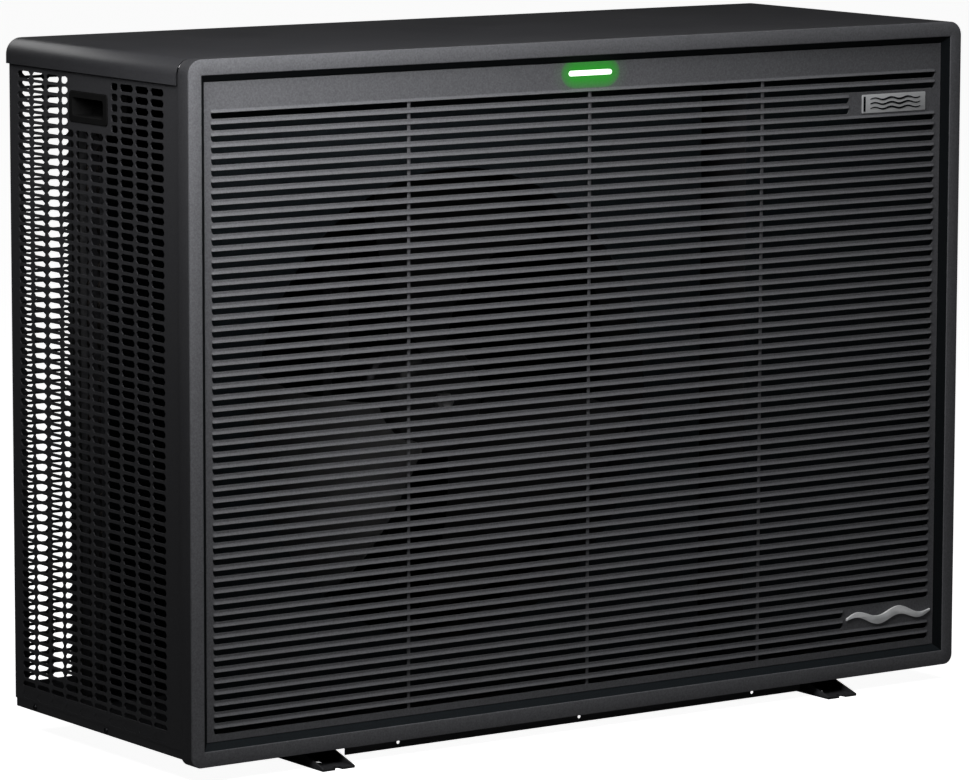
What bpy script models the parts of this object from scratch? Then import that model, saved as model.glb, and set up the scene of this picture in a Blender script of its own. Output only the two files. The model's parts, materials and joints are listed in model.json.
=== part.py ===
"""Pool heat pump: a louvred steel case on two feet, with its fan, coil, compressor and water circuit.

Metres, +Z up, +X to the right when facing the louvred front, +Y towards the back.
The origin is on the ground under the middle of the whole unit.
Sizes of the case are counted from its own corner: x from the left side, y from the
front face, z from the underside of the bezel.
"""

import math

import bmesh
import bpy
from mathutils import Matrix, Vector

# ------------------------------------------------------------------ driving sizes
CASE_WIDTH = 1.033
CASE_DEPTH = 0.371
CASE_HEIGHT = 0.743
GROUND_CLEARANCE = 0.0185      # ground to the underside of the bezel
SHEET = 0.0015                 # steel sheet of the panels
SEAM = 0.0003                  # gap left between two pieces that touch

# front bezel: a flat face that splays inwards down to the louvre panel
BEZEL_FACE_SIDE = 0.0150
BEZEL_FACE_TOP = 0.0162
BEZEL_SPLAY = 0.0075
BEZEL_DEPTH = 0.0120
BEZEL_WALL = 0.0020
BEZEL_RIM = 0.0022
CORNER_RADIUS_TOP = 0.0160
CORNER_RADIUS_BOTTOM = 0.0110
CORNER_STEPS = 5
LEAST_CORNER = 0.0006

# front frame behind the bezel
FRAME_START = 0.0030
FRAME_END = 0.0218
FRAME_WEB_Y = 0.0125
FRAME_WEB_WIDTH = 0.0300

# louvre panel and what is on it
PANEL_FRONT = 0.0080
PANEL_THICKNESS = 0.0042
PANEL_EDGE_GAP = 0.0007
LOUVRE_PITCH = 0.0120
LOUVRE_OPENING = 0.0057
LOUVRE_TOP_BAND = 0.0586       # case top to the middle of the first slot
LOUVRE_SIDE_MARGIN = 0.0312
LOUVRE_BOTTOM_MARGIN = 0.0364  # bezel underside to the middle of the last slot
SHORT_ROW_MARGIN = 0.1560      # solid land beside the rows cut short for the two plates
RIB_WIDTH = 0.0038
RIB_DEPTH = 0.0045
RIB_SPACING = 0.2375
RIB_BELOW_LIGHT = 0.0120
LIGHT_LENGTH = 0.0574
LIGHT_HEIGHT = 0.0056
LIGHT_DROP = 0.0363
LIGHT_CLEARANCE = 0.0003
LIGHT_PROUD = 0.0008
BOARD_THICKNESS = 0.0016
LIGHT_BOARD_MARGIN = 0.0060
LIGHT_BOARD_BELOW = 0.0075
LIGHT_BOARD_ABOVE = 0.0055
BADGE_SIZE = (0.0924, 0.0211)
BADGE_RIGHT = 0.0456
BADGE_DROP = 0.0888
EMBLEM_SIZE = (0.1230, 0.0190)
EMBLEM_RIGHT = 0.0290
EMBLEM_RISE = 0.0655
PLATE_THICKNESS = 0.0012
PLATE_CORNER = 0.0012
EMBLEM_THICKNESS = 0.0024
EMBLEM_POINT = 0.0004           # half the ripple's thickness at its two ends

# top cover
COVER_PROUD = 0.0020
COVER_OVERHANG = 0.0045
COVER_SKIRT = 0.0275
COVER_EDGE_RADIUS = 0.0180
COVER_SEAM = 0.0010
CUT_PAST = 0.0100              # how far a cutter runs past the face it opens

# side and rear panels
PANEL_BOTTOM = 0.0156
PANEL_UNDER_COVER = 0.0150     # case top down to the panels' hidden top edge
SIDE_WINDOW_FRONT = 0.0529
SIDE_WINDOW_REAR = 0.0170
WINDOW_PITCH = 0.0610
WINDOW_WEB = 0.0033
WINDOW_TOP = 0.0340
WINDOW_BOTTOM = 0.0189
WINDOW_BANDS = 2
WINDOW_BAND_WEB = 0.0033
REAR_GRILLE_COLUMNS = 6
REAR_GRILLE_BANDS = 2
REAR_GRILLE_STOP = 0.0100      # bulkhead back to the last window

# handle cups
HANDLE_FRONT = 0.1650
HANDLE_SIZE = (0.0784, 0.0330)
HANDLE_DROP = 0.0645
HANDLE_DEPTH = 0.0260
HANDLE_LIP_SIDE = 0.0080
HANDLE_LIP_TOP = 0.0070
HANDLE_WALL = 0.0020
HANDLE_CORNER = 0.0040
HANDLE_INNER_CORNER = 0.0030
HANDLE_FIELD = 0.0100          # blank sheet kept below a handle cup

# base pan, skirt and feet
PAN_RISE = 0.0063
PAN_WALL_TOP = 0.0320
PAN_INSET = 0.0018
SKIRT_DROP = 0.0193
SKIRT_REACH = 0.0120
SKIRT_HOLE = 0.0045
SKIRT_HOLE_SPACING = 0.2416
SKIRT_HOLE_DROP = 0.0132
FOOT_WIDTH = 0.0407
FOOT_INSET = 0.1736            # case side to the middle of the foot
FOOT_SHEET = 0.0025
FOOT_TIP = 0.0150              # how far a foot stands out past the case
FOOT_TIP_LIP = 0.0028
FOOT_TAPER = 0.0775
FOOT_SLOT = (0.0100, 0.0160)
FOOT_SLOT_FROM_TIP = 0.0400
FOOT_NOTCH = (0.0090, 0.0090)
SKIRT_FOOT_GAP = 0.0120
DRAIN_RADIUS = 0.0110
DRAIN_BORE = 0.0080
DRAIN_LENGTH = 0.0150

# fan and its air path
FAN_OPENING = 0.5130
FAN_TIP_CLEARANCE = 0.0065
FAN_SIDE_SHIFT = 0.0180
FAN_DROP = 0.0195
FAN_BLADES = 3
BLADE_THICKNESS = 0.0028
BLADE_PITCH_ROOT = 34.0
BLADE_PITCH_TIP = 17.0
BLADE_ANGLE_ROOT = 58.0        # how much of the circle a blade covers, in degrees
BLADE_ANGLE_TIP = 74.0
HUB_RADIUS = 0.0600
HUB_LENGTH = 0.0500
HUB_SETBACK = 0.0060            # blade front edge to the hub's face
HUB_ROUNDING = 0.0140
SHAFT_RADIUS = 0.0060
SHAFT_CLEARANCE = 0.0002
SHAFT_PAST_NUT = 0.0030
FAN_NUT_RADIUS = 0.0110
FAN_NUT_LENGTH = 0.0080
BLADE_SWEEP = 16.0             # how far a blade's tip trails its root, in degrees
SHROUD_Y = 0.0440
SHROUD_GAP_SHARE = 0.45        # of the space between fan opening and bulkhead, left open
RING_DEPTH = 0.0700
RING_WALL = 0.0030
RING_FLARE = 0.0070
FAN_SETBACK = 0.0160           # shroud plate to the blades' front edge
MOTOR_RADIUS = 0.0560
MOTOR_LENGTH = 0.0800
MOTOR_GAP = 0.0120
MOTOR_FRONT_ROUNDING = 0.0140
MOTOR_BACK_ROUNDING = 0.0100
RAIL_SHEET = 0.0020
RAIL_SIZE = (0.0240, 0.0160)
RAIL_SPACING = 0.0760
ROUND_STEPS = 48

# compressor bay
BAY_WIDTH = 0.2730             # bulkhead to the right side of the case
INNER_TOP_GAP = 0.0035         # cover skirt down to the inner sheets
COIL_THICKNESS = 0.0440
COIL_REAR_GAP = 0.0090
COIL_LEFT = 0.0910
COIL_INTO_BAY = 0.0160
COIL_TOP_DROP = 0.0430
END_PLATE_RIM = 0.0030
END_PLATE_FOLD = 0.0080
HEADER_RADIUS = 0.0080
HEADER_FROM_PLATE = 0.0150
HEADER_FROM_BACK = 0.0160
HEADER_BOTTOM = 0.0600
HEADER_TOP_DROP = 0.0500
COMPRESSOR_RADIUS = 0.0550
COMPRESSOR_HEIGHT = 0.2620
COMPRESSOR_DOME = 0.0400
COMPRESSOR_CROWN = 0.0120
COMPRESSOR_FOOT_SHEET = 0.0030
COMPRESSOR_FROM_BULKHEAD = 0.0980
COMPRESSOR_FROM_REAR = 0.1090
GROMMET_RADIUS = 0.0130
GROMMET_HEIGHT = 0.0220
GROMMET_CIRCLE = 0.0640
ACCUMULATOR_RADIUS = 0.0220
ACCUMULATOR_HEIGHT = 0.1500
ACCUMULATOR_TOP = 0.2700
ACCUMULATOR_OFFSET = (0.0830, 0.0100)
ACCUMULATOR_ROUNDING = 0.0150
EXCHANGER_RADIUS = 0.0580
EXCHANGER_FROM_RIGHT = 0.0850
EXCHANGER_FOOT = 0.0160
EXCHANGER_SHOULDER = 0.0300
EXCHANGER_Y = 0.1200
EXCHANGER_HEADROOM = 0.0800    # up to the electrical box
VALVE_RADIUS = 0.0150
VALVE_LENGTH = 0.0800
VALVE_ROUNDING = 0.0060
VALVE_ABOVE_COMPRESSOR = 0.0650
PIPE_RADIUS = 0.0055
PIPE_BEND = 0.0150
EXPANSION_RADIUS = 0.0120
EXPANSION_HEIGHT = 0.0500
EXPANSION_FROM_BULKHEAD = 0.0450
EXPANSION_Z = 0.1500
PIPE_RISE = 0.0200             # how far a pipe runs straight out of what it joins
PIPE_DROP = 0.0140
DISCHARGE_LOOP = 0.0450
GAS_PIPE_RISE = 0.0240
LIQUID_PIPE_DIP = 0.0400
LIQUID_PIPE_RISE = 0.0250
LIQUID_PIPE_INTO_COIL = 0.0100
LIQUID_LANE = 0.0145           # coil's right plate to the pipe that runs beside it
ELECTRICAL_HEIGHT = 0.1400
ELECTRICAL_DROP = 0.0430
ELECTRICAL_FRONT = 0.0600
ELECTRICAL_REAR = 0.0700
ELECTRICAL_WALL = 0.0020
ELECTRICAL_GAP_LEFT = 0.0100
ELECTRICAL_GAP_RIGHT = 0.0060  # to the handle cup
BOARD_MARGIN = 0.0060
BOARD_STANDOFF = 0.0100

# water unions on the right side
PORT_LOW = 0.1300
PORT_DROP_FROM_TOP = 0.0550    # exchanger top down to the upper port
PORT_RADIUS = 0.0300
PORT_BORE = 0.0240
PORT_REACH = 0.0180
PORT_HOLE_CLEARANCE = 0.0015
UNION_NUT_RADIUS = 0.0410
UNION_NUT_LENGTH = 0.0235
UNION_NUT_LIP = 0.0040
UNION_NUT_LUGS = 8
UNION_NUT_CHAMFERS = (0.0010, 0.0030)
UNION_NUT_DIP = 0.0025
UNION_CLEARANCE = 0.0004
TAIL_REACH = 0.0500
TAIL_RADIUS = 0.0290
TAIL_BORE = 0.0250
TAIL_FLANGE = 0.0040
TERMINAL_COVER_SIZE = (0.1100, 0.0800)
TERMINAL_COVER_DEPTH = 0.0280
TERMINAL_COVER_Y = 0.1700
TERMINAL_COVER_DROP = 0.1700
TERMINAL_COVER_WALL = 0.0025
TERMINAL_COVER_CORNER = 0.0060
GLAND_RADIUS = 0.0100
GLAND_BORE = 0.0045
GLAND_LENGTH = 0.0240

# ------------------------------------------------------------------ places worked out
BULKHEAD_X = CASE_WIDTH - BAY_WIDTH
FAN_X = BULKHEAD_X / 2 - FAN_SIDE_SHIFT
FAN_Z = CASE_HEIGHT / 2 - FAN_DROP
FAN_RADIUS = FAN_OPENING / 2 - FAN_TIP_CLEARANCE
SHROUD_RIGHT = BULKHEAD_X - SHROUD_GAP_SHARE * (BULKHEAD_X - FAN_X - FAN_OPENING / 2)
BLADE_FRONT = SHROUD_Y + SHEET + FAN_SETBACK
PAN_FLOOR = PAN_RISE + SHEET
INNER_TOP = CASE_HEIGHT - COVER_SKIRT - INNER_TOP_GAP
COIL_BACK = CASE_DEPTH - COIL_REAR_GAP
COIL_FRONT = COIL_BACK - COIL_THICKNESS
COIL_RIGHT = BULKHEAD_X + COIL_INTO_BAY
COIL_TOP = CASE_HEIGHT - COIL_TOP_DROP
PANEL_SIDE = BEZEL_FACE_SIDE + BEZEL_SPLAY + PANEL_EDGE_GAP
PANEL_TOP = BEZEL_FACE_TOP + BEZEL_SPLAY + PANEL_EDGE_GAP
COMPRESSOR_X = BULKHEAD_X + COMPRESSOR_FROM_BULKHEAD
COMPRESSOR_Y = CASE_DEPTH - COMPRESSOR_FROM_REAR
COMPRESSOR_BASE = PAN_FLOOR + GROMMET_HEIGHT + 2 * SEAM
COMPRESSOR_TOP = COMPRESSOR_BASE + COMPRESSOR_HEIGHT
EXCHANGER_X = CASE_WIDTH - EXCHANGER_FROM_RIGHT
ELECTRICAL_TOP = CASE_HEIGHT - ELECTRICAL_DROP
ELECTRICAL_BOTTOM = ELECTRICAL_TOP - ELECTRICAL_HEIGHT
EXCHANGER_TOP = ELECTRICAL_BOTTOM - EXCHANGER_HEADROOM
PORTS_Z = {"inlet": PORT_LOW, "outlet": EXCHANGER_TOP - PORT_DROP_FROM_TOP}
VALVE_Z = COMPRESSOR_TOP + VALVE_ABOVE_COMPRESSOR
HEADER_X = COIL_RIGHT + SHEET + HEADER_FROM_PLATE
HEADER_Y = COIL_BACK - HEADER_FROM_BACK
LIGHT_Z = CASE_HEIGHT - LIGHT_DROP


def clear_scene():
    """Take away whatever the opened file holds."""
    for item in list(bpy.data.objects):
        bpy.data.objects.remove(item, do_unlink=True)


def make_material(name, colour, roughness, metallic=0.0):
    """One Principled finish."""
    finish = bpy.data.materials.new(name)
    finish.use_nodes = True
    shader = finish.node_tree.nodes["Principled BSDF"]
    shader.inputs["Base Color"].default_value = (*colour, 1.0)
    shader.inputs["Roughness"].default_value = roughness
    shader.inputs["Metallic"].default_value = metallic
    finish.diffuse_color = (*colour, 1.0)
    return finish


def make_case_corner():
    """The empty that carries every piece: the case's lower front left corner."""
    corner = bpy.data.objects.new("case_corner", None)
    reach_left = COVER_PROUD
    reach_right = CASE_WIDTH + TAIL_REACH
    corner.location = ((reach_left - reach_right) / 2, -CASE_DEPTH / 2, GROUND_CLEARANCE)
    bpy.context.scene.collection.objects.link(corner)
    return corner


def place(name, shape, finish, location=(0, 0, 0), smooth=False):
    """Turn a bmesh into a named object on the case corner."""
    bmesh.ops.recalc_face_normals(shape, faces=shape.faces)
    mesh = bpy.data.meshes.new(name)
    shape.to_mesh(mesh)
    shape.free()
    mesh.materials.append(finish)
    if smooth:
        mesh.shade_smooth()
        mesh.set_sharp_from_angle(angle=math.radians(35))
    piece = bpy.data.objects.new(name, mesh)
    piece.location = location
    piece.parent = CORNER
    bpy.context.scene.collection.objects.link(piece)
    return piece


def combine(piece, shape, operation="DIFFERENCE", location=(0, 0, 0)):
    """Cut a shape out of a piece, or join it on, with a hidden guide object."""
    count = len(piece.modifiers)
    guide = place(f"{piece.name}_guide_{count}", shape, piece.data.materials[0], location)
    guide.hide_render = True
    guide.display_type = "WIRE"
    step = piece.modifiers.new(f"{operation.lower()}_{count}", "BOOLEAN")
    step.object = guide
    step.operation = operation
    step.solver = "EXACT"
    return piece


def box(low, high):
    """A block between two corners."""
    shape = bmesh.new()
    size = Vector(high) - Vector(low)
    middle = (Vector(high) + Vector(low)) / 2
    bmesh.ops.create_cube(shape, size=1, matrix=Matrix.Translation(middle) @ Matrix.Diagonal((*size, 1)))
    return shape


def prism(outline, axis, start, end):
    """An outline drawn across an axis (x, y or z) and pulled along it."""
    shape = bmesh.new()
    order = {"x": lambda u, v, w: (w, u, v), "y": lambda u, v, w: (u, w, v), "z": lambda u, v, w: (u, v, w)}
    corners = [shape.verts.new(order[axis](u, v, start)) for u, v in outline]
    face = shape.faces.new(corners)
    pulled = bmesh.ops.extrude_face_region(shape, geom=[face])
    moved = [item for item in pulled["geom"] if isinstance(item, bmesh.types.BMVert)]
    travel = Vector(order[axis](0, 0, end - start))
    bmesh.ops.translate(shape, verts=moved, vec=travel)
    return shape


def turned(profile, axis="z", steps=ROUND_STEPS, closed=False):
    """A profile of (radius, height) points turned about an axis through the origin."""
    shape = bmesh.new()
    turn = {
        "x": lambda r, a, h: (h, r * math.cos(a), r * math.sin(a)),
        "y": lambda r, a, h: (r * math.cos(a), h, r * math.sin(a)),
        "z": lambda r, a, h: (r * math.cos(a), r * math.sin(a), h),
    }[axis]
    rings = []
    for radius, height in profile:
        if radius == 0:
            rings.append([shape.verts.new(turn(0, 0, height))])
            continue
        angles = [2 * math.pi * step / steps for step in range(steps)]
        rings.append([shape.verts.new(turn(radius, angle, height)) for angle in angles])
    pairs = list(zip(rings, rings[1:]))
    if closed:
        pairs.append((rings[-1], rings[0]))
    for first, second in pairs:
        join_rings(shape, first, second)
    return shape


def rod(radius, start, end, axis="z", steps=ROUND_STEPS):
    """A solid round bar along an axis."""
    return turned([(0, start), (radius, start), (radius, end), (0, end)], axis, steps)


def join_rings(shape, first, second):
    """Bridge two rings of points, or a ring and a single point."""
    count = max(len(first), len(second))
    for step in range(count):
        after = (step + 1) % count
        if len(first) == 1:
            shape.faces.new((first[0], second[step], second[after]))
        elif len(second) == 1:
            shape.faces.new((first[step], first[after], second[0]))
        else:
            shape.faces.new((first[step], first[after], second[after], second[step]))


def rounded_outline(low, high, radii, steps=CORNER_STEPS):
    """A rectangle with its own radius at each corner, from the lower left, anticlockwise."""
    (x0, z0), (x1, z1) = low, high
    corners = ((x0, z0, 1, 1, 180), (x1, z0, -1, 1, 270), (x1, z1, -1, -1, 0), (x0, z1, 1, -1, 90))
    points = []
    for (x, z, side, lift, start), radius in zip(corners, radii):
        for step in range(steps + 1):
            angle = math.radians(start + 90 * step / steps)
            middle = (x + side * radius, z + lift * radius)
            points.append((middle[0] + radius * math.cos(angle), middle[1] + radius * math.sin(angle)))
    return points


def slot_outline(middle, length, width, steps=6):
    """A slot with round ends; its length runs along the first direction."""
    half, radius = length / 2 - width / 2, width / 2
    points = []
    for side, start in ((1, -90), (-1, 90)):
        for step in range(steps + 1):
            angle = math.radians(start + 180 * step / steps)
            across, along = middle[0] + side * half, middle[1]
            points.append((across + radius * math.cos(angle), along + radius * math.sin(angle)))
    return points


def frame_ring(section):
    """A closed section of (side inset, top inset, y) points carried round the case front."""
    shape = bmesh.new()
    loops = []
    for side, top, y in section:
        low_radius = max(CORNER_RADIUS_BOTTOM - side, LEAST_CORNER)
        high_radius = max(CORNER_RADIUS_TOP - side, LEAST_CORNER)
        outline = rounded_outline((side, top), (CASE_WIDTH - side, CASE_HEIGHT - top),
                                  (low_radius, low_radius, high_radius, high_radius))
        loops.append([shape.verts.new((x, y, z)) for x, z in outline])
    for first, second in zip(loops, loops[1:] + loops[:1]):
        join_rings(shape, first, second)
    return shape


def plate_with_windows(u_lines, v_lines, is_open, start, end, facing):
    """A plate on a grid of lines, open in the cells that is_open names, with walls round them."""
    shape = bmesh.new()
    order = {"y": lambda u, v, w: (u, w, v), "x": lambda u, v, w: (w, u, v)}[facing]
    made = {}

    def corner(i, j, w):
        if (i, j, w) not in made:
            made[i, j, w] = shape.verts.new(order(u_lines[i], v_lines[j], w))
        return made[i, j, w]

    columns, rows = len(u_lines) - 1, len(v_lines) - 1
    solid = {(i, j) for i in range(columns) for j in range(rows) if not is_open(i, j)}
    for i, j in solid:
        for w in (start, end):
            square = ((i, j), (i + 1, j), (i + 1, j + 1), (i, j + 1))
            shape.faces.new([corner(*spot, w) for spot in square])
        edges = {(i - 1, j): ((i, j), (i, j + 1)), (i + 1, j): ((i + 1, j), (i + 1, j + 1)),
                 (i, j - 1): ((i, j), (i + 1, j)), (i, j + 1): ((i, j + 1), (i + 1, j + 1))}
        for neighbour, (one, two) in edges.items():
            if neighbour not in solid:
                wall = ((one, start), (two, start), (two, end), (one, end))
                shape.faces.new([corner(*spot, w) for spot, w in wall])
    return shape


def bent_route(points, bend, steps=4):
    """Corner points of a pipe with each corner rounded."""
    route = [Vector(points[0])]
    for before, at, after in zip(points, points[1:], points[2:]):
        before, at, after = Vector(before), Vector(at), Vector(after)
        reach = min(bend, (before - at).length * 0.48, (after - at).length * 0.48)
        start = at + (before - at).normalized() * reach
        end = at + (after - at).normalized() * reach
        for step in range(steps + 1):
            t = step / steps
            route.append(start.lerp(at, t).lerp(at.lerp(end, t), t))
    route.append(Vector(points[-1]))
    return route


def pipe(name, points, radius, finish):
    """A bent round pipe with closed ends."""
    curve = bpy.data.curves.new(name, "CURVE")
    curve.dimensions = "3D"
    curve.bevel_depth = radius
    curve.bevel_resolution = 2
    curve.use_fill_caps = True
    route = bent_route(points, PIPE_BEND)
    spline = curve.splines.new("POLY")
    spline.points.add(len(route) - 1)
    for point, spot in zip(spline.points, route):
        point.co = (*spot, 1)
    curve.materials.append(finish)
    piece = bpy.data.objects.new(name, curve)
    piece.parent = CORNER
    bpy.context.scene.collection.objects.link(piece)
    return piece


# ------------------------------------------------------------------ the front
def make_bezel():
    """Flat face, inward splay and a thin return that the louvre panel sits inside."""
    face, face_top = BEZEL_FACE_SIDE, BEZEL_FACE_TOP
    inner, inner_top = face + BEZEL_SPLAY, face_top + BEZEL_SPLAY
    wall = BEZEL_WALL
    section = [
        (0, 0, BEZEL_RIM),
        (0, 0, 0),
        (face, face_top, 0),
        (inner, inner_top, PANEL_FRONT - SEAM),
        (inner, inner_top, BEZEL_DEPTH),
        (inner - wall, inner_top - wall, BEZEL_DEPTH),
        (inner - wall, inner_top - wall, PANEL_FRONT + wall / 2),
        (face - wall / 2, face_top - wall / 2, BEZEL_RIM),
    ]
    return place("front_bezel", frame_ring(section), PAINT_FRONT)


def make_front_frame():
    """Outer skin behind the bezel with a web that carries the louvre panel."""
    web_back = FRAME_WEB_Y + SHEET
    section = [
        (0, 0, FRAME_START),
        (0, 0, FRAME_END),
        (SHEET, SHEET, FRAME_END),
        (SHEET, SHEET, web_back),
        (FRAME_WEB_WIDTH, FRAME_WEB_WIDTH, web_back),
        (FRAME_WEB_WIDTH, FRAME_WEB_WIDTH, FRAME_WEB_Y),
        (SHEET, SHEET, FRAME_WEB_Y),
        (SHEET, SHEET, FRAME_START),
    ]
    return place("front_frame", frame_ring(section), PAINT_SIDE)


def louvre_rows():
    """Heights of the slots' middles, from the bottom up, at an even pitch near LOUVRE_PITCH."""
    top = CASE_HEIGHT - LOUVRE_TOP_BAND
    count = round((top - LOUVRE_BOTTOM_MARGIN) / LOUVRE_PITCH) + 1
    step = (top - LOUVRE_BOTTOM_MARGIN) / (count - 1)
    return [LOUVRE_BOTTOM_MARGIN + step * row for row in range(count)]


def make_louvre_panel():
    """Slotted panel; the third and fourth rows from each end stop short of the plates."""
    rows = louvre_rows()
    short = {2, 3, len(rows) - 4, len(rows) - 3}
    u_lines = [PANEL_SIDE, LOUVRE_SIDE_MARGIN, CASE_WIDTH - SHORT_ROW_MARGIN,
               CASE_WIDTH - LOUVRE_SIDE_MARGIN, CASE_WIDTH - PANEL_SIDE]
    v_lines = [PANEL_TOP]
    for middle in rows:
        v_lines += [middle - LOUVRE_OPENING / 2, middle + LOUVRE_OPENING / 2]
    v_lines.append(CASE_HEIGHT - PANEL_TOP)

    def is_open(column, row):
        slot = row % 2 == 1
        return slot and (column == 1 or (column == 2 and row // 2 not in short))

    end = PANEL_FRONT + PANEL_THICKNESS
    shape = plate_with_windows(u_lines, v_lines, is_open, PANEL_FRONT, end, "y")
    panel = place("louvre_panel", shape, PAINT_FRONT)
    room = 2 * LIGHT_CLEARANCE
    hole = slot_outline((CASE_WIDTH / 2, LIGHT_Z), LIGHT_LENGTH + room, LIGHT_HEIGHT + room)
    return combine(panel, prism(hole, "y", 0, 2 * end))


def make_front_details():
    """Ribs, status light, and the two plain plates on the louvre panel."""
    back = PANEL_FRONT + PANEL_THICKNESS + SEAM
    reach = FRAME_WEB_WIDTH + SEAM
    for name, shift in (("left", -RIB_SPACING), ("centre", 0), ("right", RIB_SPACING)):
        middle = CASE_WIDTH / 2 + shift
        top = CASE_HEIGHT - reach
        if name == "centre":
            top = LIGHT_Z - RIB_BELOW_LIGHT
        left, right = middle - RIB_WIDTH / 2, middle + RIB_WIDTH / 2
        place(f"grille_rib_{name}", box((left, back, reach), (right, back + RIB_DEPTH, top)), PAINT_DARK)
    bar = slot_outline((CASE_WIDTH / 2, LIGHT_Z), LIGHT_LENGTH, LIGHT_HEIGHT)
    place("status_light_lens", prism(bar, "y", PANEL_FRONT - LIGHT_PROUD, back), LIGHT_GREEN)
    half = LIGHT_LENGTH / 2 + LIGHT_BOARD_MARGIN
    board_y = back + SEAM
    board = box((CASE_WIDTH / 2 - half, board_y, LIGHT_Z - LIGHT_BOARD_BELOW),
                (CASE_WIDTH / 2 + half, board_y + BOARD_THICKNESS, LIGHT_Z + LIGHT_BOARD_ABOVE))
    place("status_light_board", board, BOARD_GREEN)
    face = PANEL_FRONT - SEAM
    right, middle = CASE_WIDTH - BADGE_RIGHT, CASE_HEIGHT - BADGE_DROP
    width, height = BADGE_SIZE
    low, high = (right - width, middle - height / 2), (right, middle + height / 2)
    plate = rounded_outline(low, high, (PLATE_CORNER,) * 4, 3)
    place("badge_plate", prism(plate, "y", face - PLATE_THICKNESS, face), BRUSHED)
    wave = wave_outline(CASE_WIDTH - EMBLEM_RIGHT - EMBLEM_SIZE[0], EMBLEM_RISE)
    place("wave_emblem", prism(wave, "y", face - EMBLEM_THICKNESS, face), CHROME)


def wave_outline(left, middle, steps=24):
    """A plain ripple, thickest in its middle and pointed at both ends."""
    length, height = EMBLEM_SIZE
    upper, lower = [], []
    for step in range(steps + 1):
        share = step / steps
        centre = middle + 0.28 * height * math.sin(4 * math.pi * share)
        half = EMBLEM_POINT + 0.20 * height * math.sin(math.pi * share)
        upper.append((left + share * length, centre + half))
        lower.append((left + share * length, centre - half))
    return lower + upper[::-1]


# ------------------------------------------------------------------ the case
def cover_outline(inset):
    """The cover seen from the front: a flat top with large round shoulders and two skirts."""
    left, right = -COVER_PROUD + inset, CASE_WIDTH + COVER_PROUD - inset
    top, radius = CASE_HEIGHT - inset, COVER_EDGE_RADIUS - inset
    bottom = CASE_HEIGHT - COVER_SKIRT - (CUT_PAST if inset else 0)
    points = [(left, bottom), (right, bottom)]
    for middle, start in ((right - radius, 0), (left + radius, 90)):
        for step in range(7):
            angle = math.radians(start + 15 * step)
            rise = top - radius + radius * math.sin(angle)
            points.append((middle + radius * math.cos(angle), rise))
    return points


def make_top_cover():
    """Pressed lid with skirts on both sides and at the back."""
    front = FRAME_END + COVER_SEAM
    back = CASE_DEPTH + COVER_OVERHANG
    cover = place("top_cover", prism(cover_outline(0), "y", front, back), PAINT_TOP, smooth=True)
    hollow = prism(cover_outline(SHEET), "y", front - CUT_PAST, back - SHEET)
    return combine(cover, hollow)


def side_windows():
    """Front-to-back window edges of a side panel, at an even pitch."""
    first, last = SIDE_WINDOW_FRONT, CASE_DEPTH - SIDE_WINDOW_REAR
    count = round((last - first + WINDOW_WEB) / WINDOW_PITCH)
    pitch = (last - first + WINDOW_WEB) / count
    starts = [first + n * pitch for n in range(count)]
    return [edge for start in starts for edge in (start, start + pitch - WINDOW_WEB)]


def band_edges(bands):
    """Heights of the window bands' edges."""
    bottom, top = WINDOW_BOTTOM, CASE_HEIGHT - WINDOW_TOP
    step = (top - bottom + WINDOW_BAND_WEB) / bands
    starts = [bottom + n * step for n in range(bands)]
    return [edge for start in starts for edge in (start, start + step - WINDOW_BAND_WEB)]


def make_left_panel():
    """Perforated side sheet with a blank field round the handle cup."""
    low_z, high_z = PANEL_BOTTOM, CASE_HEIGHT - PANEL_UNDER_COVER
    u_lines = [FRAME_END + SEAM, *side_windows(), CASE_DEPTH]
    blank_bottom = CASE_HEIGHT - HANDLE_DROP - HANDLE_SIZE[1] / 2 - HANDLE_FIELD
    edges = band_edges(WINDOW_BANDS)
    v_lines = [low_z, *edges[:-1], blank_bottom - WINDOW_BAND_WEB, blank_bottom, edges[-1], high_z]
    handle = (HANDLE_FRONT - WINDOW_WEB, HANDLE_FRONT + HANDLE_SIZE[0] + WINDOW_WEB)
    last_row = len(v_lines) - 2

    def is_open(column, row):
        if column % 2 == 0 or row % 2 == 0:
            return False
        beside = u_lines[column + 1] < handle[0] or u_lines[column] > handle[1]
        return row < last_row - 1 or beside

    shape = plate_with_windows(u_lines, v_lines, is_open, 0, SHEET, "x")
    panel = place("left_side_panel", shape, PAINT_SIDE)
    return combine(panel, handle_window())


def handle_window():
    """The hole that a handle cup sits in."""
    return prism(handle_outline(SEAM), "x", -CUT_PAST, CUT_PAST)


def handle_outline(grow):
    """A handle cup's rounded front, seen from the side."""
    width, height = HANDLE_SIZE
    middle = CASE_HEIGHT - HANDLE_DROP
    low = (HANDLE_FRONT - grow, middle - height / 2 - grow)
    high = (HANDLE_FRONT + width + grow, middle + height / 2 + grow)
    return rounded_outline(low, high, (HANDLE_CORNER + grow,) * 4, 3)


def make_handle_cups():
    """Moulded finger cups let into both side panels."""
    width, height = HANDLE_SIZE
    middle = CASE_HEIGHT - HANDLE_DROP
    low = (HANDLE_FRONT + HANDLE_LIP_SIDE, middle - height / 2 + HANDLE_LIP_TOP)
    high = (HANDLE_FRONT + width - HANDLE_LIP_SIDE, middle + height / 2 - HANDLE_LIP_TOP)
    for name, face, inward in (("left", 0, 1), ("right", CASE_WIDTH, -1)):
        start, end = face + inward * SEAM, face + inward * HANDLE_DEPTH
        cup = place(f"{name}_handle_cup", prism(handle_outline(0), "x", start, end), PLASTIC_BLACK)
        hollow = rounded_outline(low, high, (HANDLE_INNER_CORNER,) * 4, 3)
        combine(cup, prism(hollow, "x", face - inward * CUT_PAST, end - inward * HANDLE_WALL))


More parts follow.
